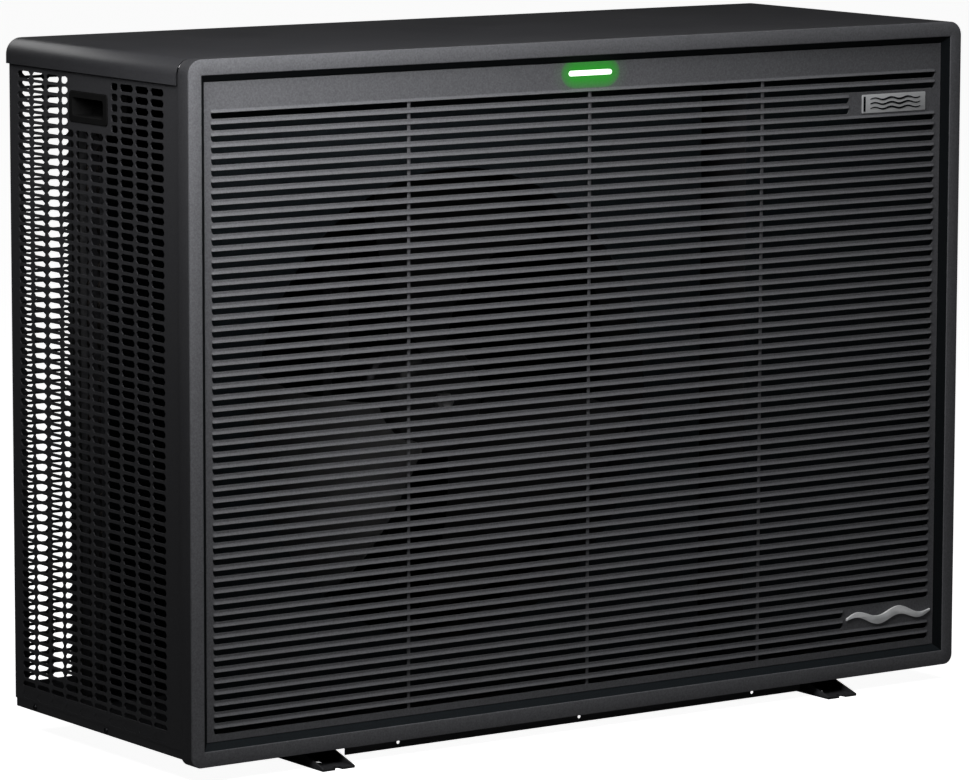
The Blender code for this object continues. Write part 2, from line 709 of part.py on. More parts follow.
def make_right_panel():
    """Closed side sheet with holes for the handle cup and the two water ports."""
    low = (CASE_WIDTH - SHEET, FRAME_END + SEAM, PANEL_BOTTOM)
    high = (CASE_WIDTH, CASE_DEPTH, CASE_HEIGHT - PANEL_UNDER_COVER)
    panel = place("right_side_panel", box(low, high), PAINT_SIDE)
    combine(panel, prism(handle_outline(SEAM), "x", CASE_WIDTH - CUT_PAST, CASE_WIDTH + CUT_PAST))
    radius = PORT_RADIUS + PORT_HOLE_CLEARANCE
    for height in PORTS_Z.values():
        hole = rod(radius, -CUT_PAST, CUT_PAST, "x", 32)
        combine(panel, hole, location=(CASE_WIDTH, EXCHANGER_Y, height))


def make_rear_panel():
    """Rear sheet: an open grille over the coil, closed behind the compressor bay."""
    low_z, high_z = PANEL_BOTTOM, CASE_HEIGHT - PANEL_UNDER_COVER
    side = SHEET + SEAM
    pitch = (BULKHEAD_X - REAR_GRILLE_STOP - SIDE_WINDOW_REAR + WINDOW_WEB) / REAR_GRILLE_COLUMNS
    u_lines = [side]
    for n in range(REAR_GRILLE_COLUMNS):
        u_lines += [SIDE_WINDOW_REAR + n * pitch, SIDE_WINDOW_REAR + (n + 1) * pitch - WINDOW_WEB]
    u_lines.append(CASE_WIDTH - side)
    v_lines = [low_z, *band_edges(REAR_GRILLE_BANDS), high_z]
    shape = plate_with_windows(u_lines, v_lines, lambda i, j: i % 2 == 1 and j % 2 == 1,
                               CASE_DEPTH - SHEET, CASE_DEPTH, "y")
    place("rear_panel", shape, PAINT_SIDE)


def make_base_pan():
    """Shallow tray that everything inside stands on, with a drain hole."""
    front = FRAME_END + SEAM
    back = CASE_DEPTH - SHEET - SEAM
    low = (PAN_INSET, front, PAN_RISE)
    high = (CASE_WIDTH - PAN_INSET, back, PAN_WALL_TOP)
    pan = place("base_pan", box(low, high), GALVANISED)
    hollow = box((low[0] + SHEET, low[1] + SHEET, PAN_FLOOR),
                 (high[0] - SHEET, high[1] - SHEET, high[2] + CUT_PAST))
    combine(pan, hollow)
    hole = rod(DRAIN_BORE, -CUT_PAST, PAN_FLOOR + CUT_PAST, "z", 16)
    combine(pan, hole, location=(FAN_X, CASE_DEPTH / 2, 0))
    top = PAN_RISE - SEAM
    low = top - DRAIN_LENGTH
    ring = [(DRAIN_BORE, low), (DRAIN_RADIUS, low), (DRAIN_RADIUS, top), (DRAIN_BORE, top)]
    spot = (FAN_X, CASE_DEPTH / 2, 0)
    place("drain_spigot", turned(ring, "z", 24, closed=True), PLASTIC_BLACK, spot, smooth=True)


def make_front_skirt():
    """Folded strip under the case between the feet, with three small holes."""
    y = FRAME_END + SEAM
    left = FOOT_INSET + FOOT_WIDTH / 2 + SKIRT_FOOT_GAP
    right = CASE_WIDTH - left
    top = PAN_RISE - SEAM
    bottom = PAN_RISE - SKIRT_DROP
    outline = [(y, bottom), (y + SHEET, bottom), (y + SHEET, top - SHEET), (y + SKIRT_REACH, top - SHEET),
               (y + SKIRT_REACH, top), (y, top)]
    skirt = place("front_skirt", prism(outline, "x", left, right), PAINT_SIDE)
    for shift in (-SKIRT_HOLE_SPACING, 0, SKIRT_HOLE_SPACING):
        hole = rod(SKIRT_HOLE / 2, -CUT_PAST, SHEET + SKIRT_REACH / 2, "y", 12)
        combine(skirt, hole, location=(CASE_WIDTH / 2 + shift, y, PAN_RISE - SKIRT_HOLE_DROP))


def make_feet():
    """Two folded channels, open upwards, whose sides slope down to both tips."""
    floor = -GROUND_CLEARANCE
    start, end = -FOOT_TIP, CASE_DEPTH + FOOT_TIP
    top = PAN_RISE - SEAM
    side = [(start, floor), (end, floor), (end, floor + FOOT_TIP_LIP), (end - FOOT_TAPER, top),
            (start + FOOT_TAPER, top), (start, floor + FOOT_TIP_LIP)]
    for name, middle in (("left", FOOT_INSET), ("right", CASE_WIDTH - FOOT_INSET)):
        left, right = middle - FOOT_WIDTH / 2, middle + FOOT_WIDTH / 2
        foot = place(f"{name}_foot", prism(side, "x", left, right), PAINT_SIDE)
        hollow = box((left + FOOT_SHEET, start - CUT_PAST, floor + FOOT_SHEET),
                     (right - FOOT_SHEET, end + CUT_PAST, top + CUT_PAST))
        combine(foot, hollow)
        for tip, inward in ((start, 1), (end, -1)):
            across, along = FOOT_SLOT
            slot_y = tip + inward * FOOT_SLOT_FROM_TIP
            slot = [(middle + v, slot_y + u) for u, v in slot_outline((0, 0), along, across, 5)]
            combine(foot, prism(slot, "z", floor - CUT_PAST, floor + CUT_PAST))
            width, depth = FOOT_NOTCH
            notch = [(middle + v, tip + u) for u, v in slot_outline((0, 0), 2 * depth, width, 5)]
            combine(foot, prism(notch, "z", floor - CUT_PAST, floor + CUT_PAST))


# ------------------------------------------------------------------ fan and air path
def make_shroud():
    """Plate with the fan opening, the round air ring behind it, and the bay's front sheet."""
    left = PAN_INSET + SHEET + SEAM
    bottom = PAN_FLOOR + SEAM
    sheet = box((left, SHROUD_Y, bottom), (SHROUD_RIGHT, SHROUD_Y + SHEET, INNER_TOP))
    plate = place("fan_shroud_plate", sheet, PAINT_DARK)
    radius = FAN_OPENING / 2
    combine(plate, rod(radius, -CUT_PAST, CUT_PAST, "y"), location=(FAN_X, SHROUD_Y, FAN_Z))
    outer = radius + RING_WALL
    ring = [(radius, SEAM), (radius + RING_FLARE, SEAM), (outer, RING_FLARE), (outer, RING_DEPTH),
            (radius, RING_DEPTH)]
    spot = (FAN_X, SHROUD_Y + SHEET, FAN_Z)
    place("fan_ring", turned(ring, "y", closed=True), PLASTIC_GREY, spot, smooth=True)
    right = CASE_WIDTH - left
    sheet = box((BULKHEAD_X, SHROUD_Y, bottom), (right, SHROUD_Y + SHEET, INNER_TOP))
    place("compressor_bay_sheet", sheet, GALVANISED)
    wall = box((BULKHEAD_X, SHROUD_Y + SHEET + SEAM, bottom),
               (BULKHEAD_X + SHEET, COIL_FRONT - SEAM, INNER_TOP))
    place("bulkhead", wall, GALVANISED)


def blade_section(radius, covered, pitch):
    """Closed outline of a blade cut at one radius: curved upper and lower skins."""
    steps = 5
    rise = math.radians(covered) * radius * math.tan(math.radians(pitch))
    upper, lower = [], []
    for step in range(steps + 1):
        share = step / steps
        angle = math.radians(covered) * (share - 0.5)
        camber = 0.16 * rise * math.sin(math.pi * share)
        depth = rise * share + camber
        half = BLADE_THICKNESS / 2 * (0.35 + 0.65 * math.sin(math.pi * min(share + 0.15, 1)))
        point = (radius * math.sin(angle), radius * math.cos(angle))
        upper.append((point[0], depth - half, point[1]))
        lower.append((point[0], depth + half, point[1]))
    return upper + lower[::-1]


def blade(turn):
    """One swept blade, from inside the hub to the tip."""
    shape = bmesh.new()
    steps = 5
    loops = []
    for step in range(steps + 1):
        share = step / steps
        radius = HUB_RADIUS * 0.9 + (FAN_RADIUS - HUB_RADIUS * 0.9) * share
        covered = BLADE_ANGLE_ROOT + (BLADE_ANGLE_TIP - BLADE_ANGLE_ROOT) * share
        pitch = BLADE_PITCH_ROOT + (BLADE_PITCH_TIP - BLADE_PITCH_ROOT) * share
        sweep = math.radians(turn + BLADE_SWEEP * share * share)
        spin = Matrix.Rotation(sweep, 4, "Y")
        loops.append([shape.verts.new(spin @ Vector(spot)) for spot in blade_section(radius, covered, pitch)])
    for first, second in zip(loops, loops[1:]):
        join_rings(shape, first, second)
    shape.faces.new(loops[0])
    shape.faces.new(loops[-1][::-1])
    return shape


def make_fan():
    """Rotor, shaft, nut and motor on the fan's axis, and the motor's two rails."""
    centre = (FAN_X, BLADE_FRONT, FAN_Z)
    start = HUB_SETBACK
    end = start + HUB_LENGTH
    bore = SHAFT_RADIUS + SHAFT_CLEARANCE
    hub = [(bore, start), (HUB_RADIUS * 0.72, start), (HUB_RADIUS * 0.93, start + HUB_ROUNDING / 3),
           (HUB_RADIUS, start + HUB_ROUNDING), (HUB_RADIUS, end), (bore, end)]
    rotor = place("fan_rotor", turned(hub, "y", 24, closed=True), PLASTIC_BLACK, centre, smooth=True)
    for n in range(FAN_BLADES):
        combine(rotor, blade(360 * n / FAN_BLADES), "UNION", centre)
    motor_front = end + MOTOR_GAP
    nut_front = start - SEAM - FAN_NUT_LENGTH
    shaft = rod(SHAFT_RADIUS, nut_front - SHAFT_PAST_NUT, motor_front - SEAM, "y", 24)
    place("fan_shaft", shaft, STEEL, centre, smooth=True)
    nut = place("fan_nut", rod(FAN_NUT_RADIUS, nut_front, start - SEAM, "y", 6), STEEL, centre)
    combine(nut, rod(bore, nut_front - CUT_PAST, start + CUT_PAST, "y", 24), location=centre)
    back = motor_front + MOTOR_LENGTH
    bell = MOTOR_RADIUS * 0.55
    motor = [(0, motor_front), (bell, motor_front), (MOTOR_RADIUS, motor_front + MOTOR_FRONT_ROUNDING),
             (MOTOR_RADIUS, back - MOTOR_BACK_ROUNDING), (MOTOR_RADIUS * 0.9, back), (0, back)]
    place("fan_motor", turned(motor, "y", 32), STEEL_DARK, centre, smooth=True)
    width, depth = RAIL_SIZE
    rail_y = BLADE_FRONT + back + SEAM
    for name, shift in (("left", -RAIL_SPACING / 2), ("right", RAIL_SPACING / 2)):
        left, right = FAN_X + shift - width / 2, FAN_X + shift + width / 2
        web, lip = rail_y + RAIL_SHEET, rail_y + depth
        outline = [(left, rail_y), (right, rail_y), (right, lip), (right - RAIL_SHEET, lip),
                   (right - RAIL_SHEET, web), (left + RAIL_SHEET, web), (left + RAIL_SHEET, lip), (left, lip)]
        place(f"motor_rail_{name}", prism(outline, "z", PAN_FLOOR + SEAM, INNER_TOP), GALVANISED)


# ------------------------------------------------------------------ refrigerant circuit
def make_coil():
    """Finned coil block across the rear, its two end plates and its header pipe."""
    bottom, top = PAN_FLOOR + SEAM, COIL_TOP
    front, back = COIL_FRONT, COIL_BACK
    block = box((COIL_LEFT + SHEET + SEAM, front, bottom), (COIL_RIGHT - SEAM, back, top))
    place("evaporator_fins", block, FINS)
    rim = END_PLATE_RIM
    for name, x, turn in (("left", COIL_LEFT, -1), ("right", COIL_RIGHT, 1)):
        fold = END_PLATE_FOLD
        outer = x if turn < 0 else x + SHEET
        near = x + SHEET if turn < 0 else x
        folded = outer + turn * fold
        inner_front, inner_back = front + rim / 2, back - rim / 2
        outline = [(near, front), (near, back), (folded, back), (folded, inner_back), (outer, inner_back),
                   (outer, inner_front), (folded, inner_front), (folded, front)]
        place(f"evaporator_{name}_plate", prism(outline, "z", bottom, top), GALVANISED)
    run = [(HEADER_X, HEADER_Y, HEADER_BOTTOM), (HEADER_X, HEADER_Y, COIL_TOP - HEADER_TOP_DROP)]
    pipe("evaporator_header", run, HEADER_RADIUS, COPPER)


def make_compressor():
    """Compressor can on three rubber mounts, and the suction accumulator beside it."""
    x, y, base, top = COMPRESSOR_X, COMPRESSOR_Y, COMPRESSOR_BASE, COMPRESSOR_TOP
    radius = COMPRESSOR_RADIUS
    plate = GROMMET_CIRCLE + GROMMET_RADIUS
    height, dome, crown, foot = top - base, COMPRESSOR_DOME, COMPRESSOR_CROWN, COMPRESSOR_FOOT_SHEET
    can = [(0, 0), (plate, 0), (plate, foot), (radius, foot), (radius, height - dome)]
    for step in range(1, 5):
        angle = math.radians(90 * step / 5)
        can.append((crown + (radius - crown) * math.cos(angle), height - dome + dome * math.sin(angle)))
    can += [(crown, height), (0, height)]
    place("compressor", turned(can, "z", 32), STEEL_DARK, (x, y, base), smooth=True)
    for n in range(3):
        angle = math.radians(90 + 120 * n)
        spot = (x + GROMMET_CIRCLE * math.cos(angle), y + GROMMET_CIRCLE * math.sin(angle), PAN_FLOOR + SEAM)
        h, r = GROMMET_HEIGHT, GROMMET_RADIUS
        mount = [(0, 0), (r, 0), (r, h * 0.3), (r * 0.75, h * 0.5), (r, h * 0.7), (r, h), (0, h)]
        place(f"compressor_mount_{n + 1}", turned(mount, "z", 16), RUBBER, spot, smooth=True)
    ax, ay = x + ACCUMULATOR_OFFSET[0], y + ACCUMULATOR_OFFSET[1]
    r, low, high = ACCUMULATOR_RADIUS, ACCUMULATOR_TOP - ACCUMULATOR_HEIGHT, ACCUMULATOR_TOP
    fold = ACCUMULATOR_ROUNDING
    tank = [(0, low), (r * 0.6, low), (r, low + fold), (r, high - fold), (r * 0.6, high), (0, high)]
    place("suction_accumulator", turned(tank, "z", 20), STEEL_DARK, (ax, ay, 0), smooth=True)


def make_circuit():
    """Four-way valve, expansion valve and the copper pipes between the main parts."""
    x, y, z = COMPRESSOR_X, COMPRESSOR_Y, VALVE_Z
    half, r = VALVE_LENGTH / 2, VALVE_RADIUS
    inner = half - VALVE_ROUNDING
    body = [(0, -half), (r * 0.8, -half), (r, -inner), (r, inner), (r * 0.8, half), (0, half)]
    place("four_way_valve", turned(body, "x", 20), BRASS, (x, y, z), smooth=True)
    gap, side = 2 * SEAM, half * 0.6
    top, rise, above = COMPRESSOR_TOP, COMPRESSOR_TOP + PIPE_RISE, z + r + PIPE_RISE
    loop_y = y - DISCHARGE_LOOP
    route = [(x, y, top + gap), (x, y, rise), (x, loop_y, rise), (x, loop_y, above), (x, y, above),
             (x, y, z + r + gap)]
    pipe("discharge_pipe", route, PIPE_RADIUS, COPPER)
    low = z - r - gap
    turn = low - PIPE_DROP
    ax, ay = x + ACCUMULATOR_OFFSET[0], y + ACCUMULATOR_OFFSET[1]
    route = [(x + side, y, low), (x + side, y, turn), (ax, ay, turn), (ax, ay, ACCUMULATOR_TOP + gap)]
    pipe("suction_pipe", route, PIPE_RADIUS, COPPER)
    route = [(x - side, y, low), (x - side, y, turn), (x - side, HEADER_Y, turn),
             (HEADER_X + HEADER_RADIUS + gap, HEADER_Y, turn)]
    pipe("coil_gas_pipe", route, PIPE_RADIUS, COPPER)
    ex, ey, lift = EXCHANGER_X, EXCHANGER_Y, EXCHANGER_TOP + GAS_PIPE_RISE
    out = x + half + GAS_PIPE_RISE
    route = [(x + half + gap, y, z), (out, y, z), (out, y, lift), (ex, ey, lift),
             (ex, ey, EXCHANGER_TOP + gap)]
    pipe("exchanger_gas_pipe", route, PIPE_RADIUS, COPPER)
    vx, vy, vz = BULKHEAD_X + EXPANSION_FROM_BULKHEAD, EXCHANGER_Y, EXPANSION_Z
    er, eh = EXPANSION_RADIUS, EXPANSION_HEIGHT
    neck = er * 0.6
    valve = [(0, 0), (er * 0.7, 0), (er, eh * 0.16), (er, eh * 0.6), (neck, eh * 0.7), (neck, eh), (0, eh)]
    place("expansion_valve", turned(valve, "z", 16), BRASS, (vx, vy, vz), smooth=True)
    thin = PIPE_RADIUS * 0.75
    dip = vz - LIQUID_PIPE_DIP
    route = [(ex - EXCHANGER_RADIUS - gap, ey, dip), (vx, vy, dip), (vx, vy, vz - gap)]
    pipe("liquid_pipe_in", route, thin, COPPER)
    lane = COIL_RIGHT + SHEET + LIQUID_LANE
    high, into = vz + eh + LIQUID_PIPE_RISE, COIL_FRONT + LIQUID_PIPE_INTO_COIL
    route = [(vx, vy, vz + eh + gap), (vx, vy, high), (lane, vy, high), (lane, into, high),
             (COIL_RIGHT + SHEET + gap, into, high)]
    pipe("liquid_pipe_out", route, thin, COPPER)


# ------------------------------------------------------------------ water circuit
def make_water_circuit():
    """Titanium exchanger in its shell, with two threaded ports, union nuts and pipe tails."""
    ex, ey = EXCHANGER_X, EXCHANGER_Y
    bottom, top, r = PAN_FLOOR + SEAM, EXCHANGER_TOP, EXCHANGER_RADIUS
    foot, shoulder = bottom + EXCHANGER_FOOT, top - EXCHANGER_SHOULDER
    bend = (shoulder + 1.5 * top) / 2.5
    shell = [(0, bottom), (r * 0.86, bottom), (r, foot), (r, shoulder), (r * 0.92, bend), (r * 0.70, top),
             (0, top)]
    place("heat_exchanger_shell", turned(shell, "z", 32), PLASTIC_GREY, (ex, ey, 0), smooth=True)
    face = CASE_WIDTH
    start = ex + r - face + 2 * SEAM
    step = PORT_REACH
    for name, height in PORTS_Z.items():
        spot = (face, ey, height)
        port = [(PORT_BORE, start), (PORT_RADIUS, start), (PORT_RADIUS, step), (PORT_BORE, step)]
        place(f"{name}_port", turned(port, "x", 32, closed=True), PLASTIC_GREY, spot, smooth=True)
        tail_start = step + SEAM
        flange, tail = PORT_RADIUS, TAIL_RADIUS - UNION_CLEARANCE
        inner = TAIL_BORE
        section = [(inner, tail_start), (flange, tail_start), (flange, tail_start + TAIL_FLANGE),
                   (tail, tail_start + TAIL_FLANGE), (tail, TAIL_REACH), (inner, TAIL_REACH)]
        place(f"{name}_union_tail", turned(section, "x", 32, closed=True), PLASTIC_BLACK, spot, smooth=True)
        place_union_nut(name, spot, tail_start)


def place_union_nut(name, spot, tail_start):
    """Hand nut with grip lugs that draws the tail onto the port; it turns about the port's axis."""
    lip = tail_start + TAIL_FLANGE + UNION_CLEARANCE
    end = lip + UNION_NUT_LIP
    start = end - UNION_NUT_LENGTH
    inner, bore, outer = PORT_RADIUS + UNION_CLEARANCE, TAIL_RADIUS + UNION_CLEARANCE, UNION_NUT_RADIUS
    small, large = UNION_NUT_CHAMFERS
    section = [(inner, start), (outer - small, start), (outer, start + small), (outer, end - large),
               (outer - large, end), (bore, end), (bore, lip), (inner, lip)]
    place(f"{name}_union_nut", lugged_ring(section, outer), PLASTIC_BLACK, spot)


def lugged_ring(section, outer, steps=32):
    """A turned ring whose outer points dip between evenly spaced grip lugs."""
    shape = bmesh.new()
    every = steps // UNION_NUT_LUGS
    loops = []
    for radius, along in section:
        loop = []
        for step in range(steps):
            angle = 2 * math.pi * step / steps
            between_lugs = radius > outer - 2 * UNION_NUT_DIP and step % every >= every // 2
            reach = radius - UNION_NUT_DIP if between_lugs else radius
            loop.append(shape.verts.new((along, reach * math.cos(angle), reach * math.sin(angle))))
        loops.append(loop)
    for first, second in zip(loops, loops[1:] + loops[:1]):
        join_rings(shape, first, second)
    return shape


# ------------------------------------------------------------------ electrics
def make_electrics():
    """Electrical box in the top of the bay with its board and lid, and the outside terminal cover."""
    left = BULKHEAD_X + SHEET + ELECTRICAL_GAP_LEFT
    right = CASE_WIDTH - HANDLE_DEPTH - ELECTRICAL_GAP_RIGHT
    front, back = ELECTRICAL_FRONT, CASE_DEPTH - ELECTRICAL_REAR
    low, high, wall = ELECTRICAL_BOTTOM, ELECTRICAL_TOP, ELECTRICAL_WALL
    tray = place("electrical_box", box((left, front, low), (right, back, high)), GALVANISED)
    combine(tray, box((left + wall, front - CUT_PAST, low + wall), (right - wall, back - wall, high - wall)))
    lid = box((left, front - SEAM - SHEET, low), (right, front - SEAM, high))
    place("electrical_box_lid", lid, GALVANISED)
    inset = wall + BOARD_MARGIN
    board_y = back - wall - BOARD_STANDOFF
    board = box((left + inset, board_y - BOARD_THICKNESS, low + inset),
                (right - inset, board_y, high - inset))
    place("control_board", board, BOARD_GREEN)
    start, depth = CASE_WIDTH + SEAM, TERMINAL_COVER_DEPTH
    width, height = TERMINAL_COVER_SIZE
    bottom = CASE_HEIGHT - TERMINAL_COVER_DROP - height
    y = TERMINAL_COVER_Y
    wall = TERMINAL_COVER_WALL
    corner = TERMINAL_COVER_CORNER
    outline = rounded_outline((y, bottom), (y + width, bottom + height), (corner,) * 4, 3)
    cover = place("terminal_cover", prism(outline, "x", start, start + depth), PLASTIC_BLACK)
    low, high = (y + wall, bottom + wall), (y + width - wall, bottom + height - wall)
    inner = rounded_outline(low, high, (corner - wall,) * 4, 3)
    combine(cover, prism(inner, "x", start - CUT_PAST, start + depth - wall))
    end, radius = -GLAND_LENGTH, GLAND_RADIUS
    gland = [(GLAND_BORE, end), (radius * 0.7, end), (radius, end * 0.6), (radius, -SEAM),
             (GLAND_BORE, -SEAM)]
    spot = (start + depth / 2, y + width / 2, bottom)
    place("cable_gland", turned(gland, "z", 20, closed=True), PLASTIC_BLACK, spot, smooth=True)


# ------------------------------------------------------------------ build
clear_scene()
PAINT_FRONT = make_material("paint_front", (0.085, 0.088, 0.094), 0.42, 0.35)
PAINT_SIDE = make_material("paint_side", (0.018, 0.018, 0.021), 0.45, 0.2)
PAINT_TOP = make_material("paint_top", (0.020, 0.020, 0.023), 0.42, 0.2)
PAINT_DARK = make_material("paint_dark", (0.012, 0.012, 0.013), 0.55)
PLASTIC_BLACK = make_material("plastic_black", (0.010, 0.010, 0.011), 0.5)
PLASTIC_GREY = make_material("plastic_grey", (0.16, 0.16, 0.17), 0.5)
RUBBER = make_material("rubber", (0.012, 0.012, 0.012), 0.85)
STEEL = make_material("steel", (0.55, 0.55, 0.56), 0.35, 1.0)
STEEL_DARK = make_material("steel_dark", (0.03, 0.03, 0.032), 0.4, 0.6)
GALVANISED = make_material("galvanised", (0.32, 0.33, 0.34), 0.45, 0.8)
FINS = make_material("fins", (0.20, 0.25, 0.30), 0.45, 0.7)
COPPER = make_material("copper", (0.62, 0.29, 0.16), 0.35, 1.0)
BRASS = make_material("brass", (0.60, 0.45, 0.19), 0.35, 1.0)
BRUSHED = make_material("brushed_aluminium", (0.42, 0.43, 0.44), 0.38, 1.0)
CHROME = make_material("chrome", (0.72, 0.73, 0.74), 0.12, 1.0)
LIGHT_GREEN = make_material("light_green", (0.30, 0.95, 0.35), 0.3)
BOARD_GREEN = make_material("board_green", (0.03, 0.16, 0.07), 0.5)
CORNER = make_case_corner()

make_bezel()
make_front_frame()
make_louvre_panel()
make_front_details()
make_top_cover()
make_left_panel()
make_handle_cups()
make_right_panel()
make_rear_panel()
make_base_pan()
make_front_skirt()
make_feet()
make_shroud()
make_fan()
make_coil()
make_compressor()
make_circuit()
make_water_circuit()
make_electrics()
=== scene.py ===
# %% [markdown]
# # A pool heat pump, finished over its measured frame
# This unit stands beside a pool. A fan at the front pulls air through a finned coil at the back,
# and a compressor moves that heat into the pool's water. The case, the fan and the ports are already
# measured and packed as a plain frame, so nothing here changes a size: each cell makes one piece of
# the finished object, in the same metres and the same place as the piece that it stands for.

# %% Load the measured frame
import json
import math

import bmesh
import bpy
from mathutils import Matrix, Quaternion, Vector

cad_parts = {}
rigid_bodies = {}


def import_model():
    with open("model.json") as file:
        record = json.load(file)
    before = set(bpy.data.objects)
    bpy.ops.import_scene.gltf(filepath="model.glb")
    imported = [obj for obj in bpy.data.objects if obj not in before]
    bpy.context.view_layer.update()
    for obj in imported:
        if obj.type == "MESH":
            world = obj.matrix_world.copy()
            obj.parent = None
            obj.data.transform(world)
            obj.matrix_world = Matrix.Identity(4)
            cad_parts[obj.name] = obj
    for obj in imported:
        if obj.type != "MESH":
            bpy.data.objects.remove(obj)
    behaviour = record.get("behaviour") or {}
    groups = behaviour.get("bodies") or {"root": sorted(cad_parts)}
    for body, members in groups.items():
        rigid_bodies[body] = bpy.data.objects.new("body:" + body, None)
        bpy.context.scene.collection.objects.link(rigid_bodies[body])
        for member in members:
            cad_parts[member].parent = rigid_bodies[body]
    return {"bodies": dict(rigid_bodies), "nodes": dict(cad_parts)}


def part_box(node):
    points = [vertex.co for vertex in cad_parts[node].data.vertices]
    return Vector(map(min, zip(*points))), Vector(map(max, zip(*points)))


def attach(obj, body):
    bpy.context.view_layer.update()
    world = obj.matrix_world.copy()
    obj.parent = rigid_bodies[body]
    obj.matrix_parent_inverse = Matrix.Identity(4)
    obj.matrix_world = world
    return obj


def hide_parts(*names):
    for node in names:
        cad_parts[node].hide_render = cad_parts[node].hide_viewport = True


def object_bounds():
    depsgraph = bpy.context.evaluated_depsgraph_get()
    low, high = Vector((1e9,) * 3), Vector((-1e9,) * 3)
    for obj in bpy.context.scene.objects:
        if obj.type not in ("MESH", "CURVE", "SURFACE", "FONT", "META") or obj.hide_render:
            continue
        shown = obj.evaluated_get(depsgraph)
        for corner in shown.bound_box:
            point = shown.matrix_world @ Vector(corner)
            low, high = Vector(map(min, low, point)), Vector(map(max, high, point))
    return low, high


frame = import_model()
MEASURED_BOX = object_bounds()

print(len(frame["nodes"]), "measured pieces on the bodies", ", ".join(frame["bodies"]))

# %% [markdown]
# ## One corner to count from
# A sheet-metal shop dimensions a case from one corner. The lower front left corner of the bezel does
# that job here: x runs to the right, y to the back and z up. Reading every node's box from that same
# corner keeps the numbers small and easy to check against a drawing.

# %% The case's corner and its overall sizes
MM = 0.001
CORNER, FAR_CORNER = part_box("front_bezel")
WIDTH = FAR_CORNER.x - CORNER.x
HEIGHT = FAR_CORNER.z - CORNER.z
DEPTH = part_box("right_side_panel")[1].y - CORNER.y
SHEET = 1.5 * MM


def span(node):
    """A measured node's lowest and highest corner, counted from the case's corner."""
    low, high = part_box(node)
    return low - CORNER, high - CORNER


def middle(node):
    """The middle of a measured node's box."""
    low, high = span(node)
    return (low + high) / 2


print(f"case {WIDTH:.3f} wide, {DEPTH:.3f} deep, {HEIGHT:.3f} high")

# %% [markdown]
# ## Writing node trees as expressions
# Materials and Geometry Nodes are both trees of nodes. Wiring them one link at a time hides the idea,
# so a small class wraps a node's output: adding, multiplying or dividing two of them adds the Math
# node that does it. The reflected forms make `1 - mask` work too. Everything else goes through one
# function, which sets a node's own settings first and then its sockets.

# %% Wires, and one function that adds a node
class Wire:
    """A node's output that Python's operators can be used on."""

    def __init__(self, socket):
        self.socket = socket

    def math(self, operation, *others):
        """A Math node with this wire as its first value."""
        values = dict(enumerate((self, *others)))
        return add_node(self.socket.id_data, "ShaderNodeMath", {"operation": operation}, values)

    def __add__(self, other):
        return self.math("ADD", other)

    def __sub__(self, other):
        return self.math("SUBTRACT", other)

    def __mul__(self, other):
        return self.math("MULTIPLY", other)

    def __truediv__(self, other):
        return self.math("DIVIDE", other)

    def __rsub__(self, other):
        return (self * -1) + other

    __radd__ = __add__
    __rmul__ = __mul__


def add_node(tree, kind, settings=None, values=None, output=0):
    """Add a node, give it its settings, then a value or a wire for each socket."""
    node = tree.nodes.new(kind)
    for key, value in (settings or {}).items():
        if key == "stops":
            set_stops(node.color_ramp, value)
        else:
            setattr(node, key, value)
    for key, value in (values or {}).items():
        if isinstance(value, Wire):
            tree.links.new(value.socket, node.inputs[key])
        else:
            node.inputs[key].default_value = value
    return Wire(node.outputs[output])


def set_stops(ramp, stops):
    """Give a colour ramp its stops."""
    while len(ramp.elements) < len(stops):
        ramp.elements.new(1.0)
    for element, (place, shade) in zip(ramp.elements, stops):
        element.position = place
        element.color = (shade, shade, shade, 1.0)


print("wires ready")

# %% [markdown]
# ## Finishes
# A finish is a Principled shader whose colour, roughness and bump vary as the real surface does. All
# patterns are measured in metres on Object coordinates, which stay with the piece when it moves. Each
# finish is one small function, so that a change to the paint is made in one place.

# %% A finish and the patterns it is made from
class Finish:
    """One material, with short names for the patterns that most finishes need."""

    def __init__(self, name, colour, roughness, metallic=0.0, coat=0.0):
        self.material = bpy.data.materials.new(name)
        self.material.use_nodes = True
        self.tree = self.material.node_tree
        self.shader = self.tree.nodes["Principled BSDF"]
        self.shader.inputs["Base Color"].default_value = (*colour, 1.0)
        self.shader.inputs["Roughness"].default_value = roughness
        self.shader.inputs["Metallic"].default_value = metallic
        self.shader.inputs["Coat Weight"].default_value = coat
        self.material.diffuse_color = (*colour, 1.0)
        self.place = self.node("ShaderNodeTexCoord", output="Object")

    def node(self, kind, settings=None, values=None, output=0):
        return add_node(self.tree, kind, settings, values, output)

    def noise(self, size, detail=2.0, stretch=(1, 1, 1)):
        """Soft noise whose grains measure about size metres, longer where stretch is above one."""
        shrink = [1 / length for length in stretch]
        where = self.node("ShaderNodeMapping", None, {"Vector": self.place, "Scale": shrink})
        return self.node("ShaderNodeTexNoise", None, {"Vector": where, "Scale": 1 / size, "Detail": detail})

    def ramp(self, value, *stops):
        """A number bent through a ramp of (place, shade) stops."""
        return self.node("ShaderNodeValToRGB", {"stops": stops}, {"Fac": value})

    def blend(self, factor, first, second):
        """One colour fading into another."""
        values = {0: factor, 6: colour_of(first), 7: colour_of(second)}
        return self.node("ShaderNodeMix", {"data_type": "RGBA"}, values, 2)

    def feed(self, **wires):
        """Wire patterns to the shader: base_color=..., roughness=..., normal=... and so on."""
        for key, wire in wires.items():
            self.tree.links.new(wire.socket, self.shader.inputs[key.replace("_", " ").title()])

    def bump(self, height, depth, strength=1.0):
        """Raise the surface by a pattern of the given depth in metres."""
        values = {"Strength": strength, "Distance": depth, "Height": height}
        self.feed(normal=self.node("ShaderNodeBump", None, values))


def colour_of(value):
    """A plain colour as four numbers; a wire as it is."""
    return value if isinstance(value, Wire) else (*value, 1.0)


def scaled(colour, by):
    """A colour made lighter or darker."""
    return tuple(part * by for part in colour)


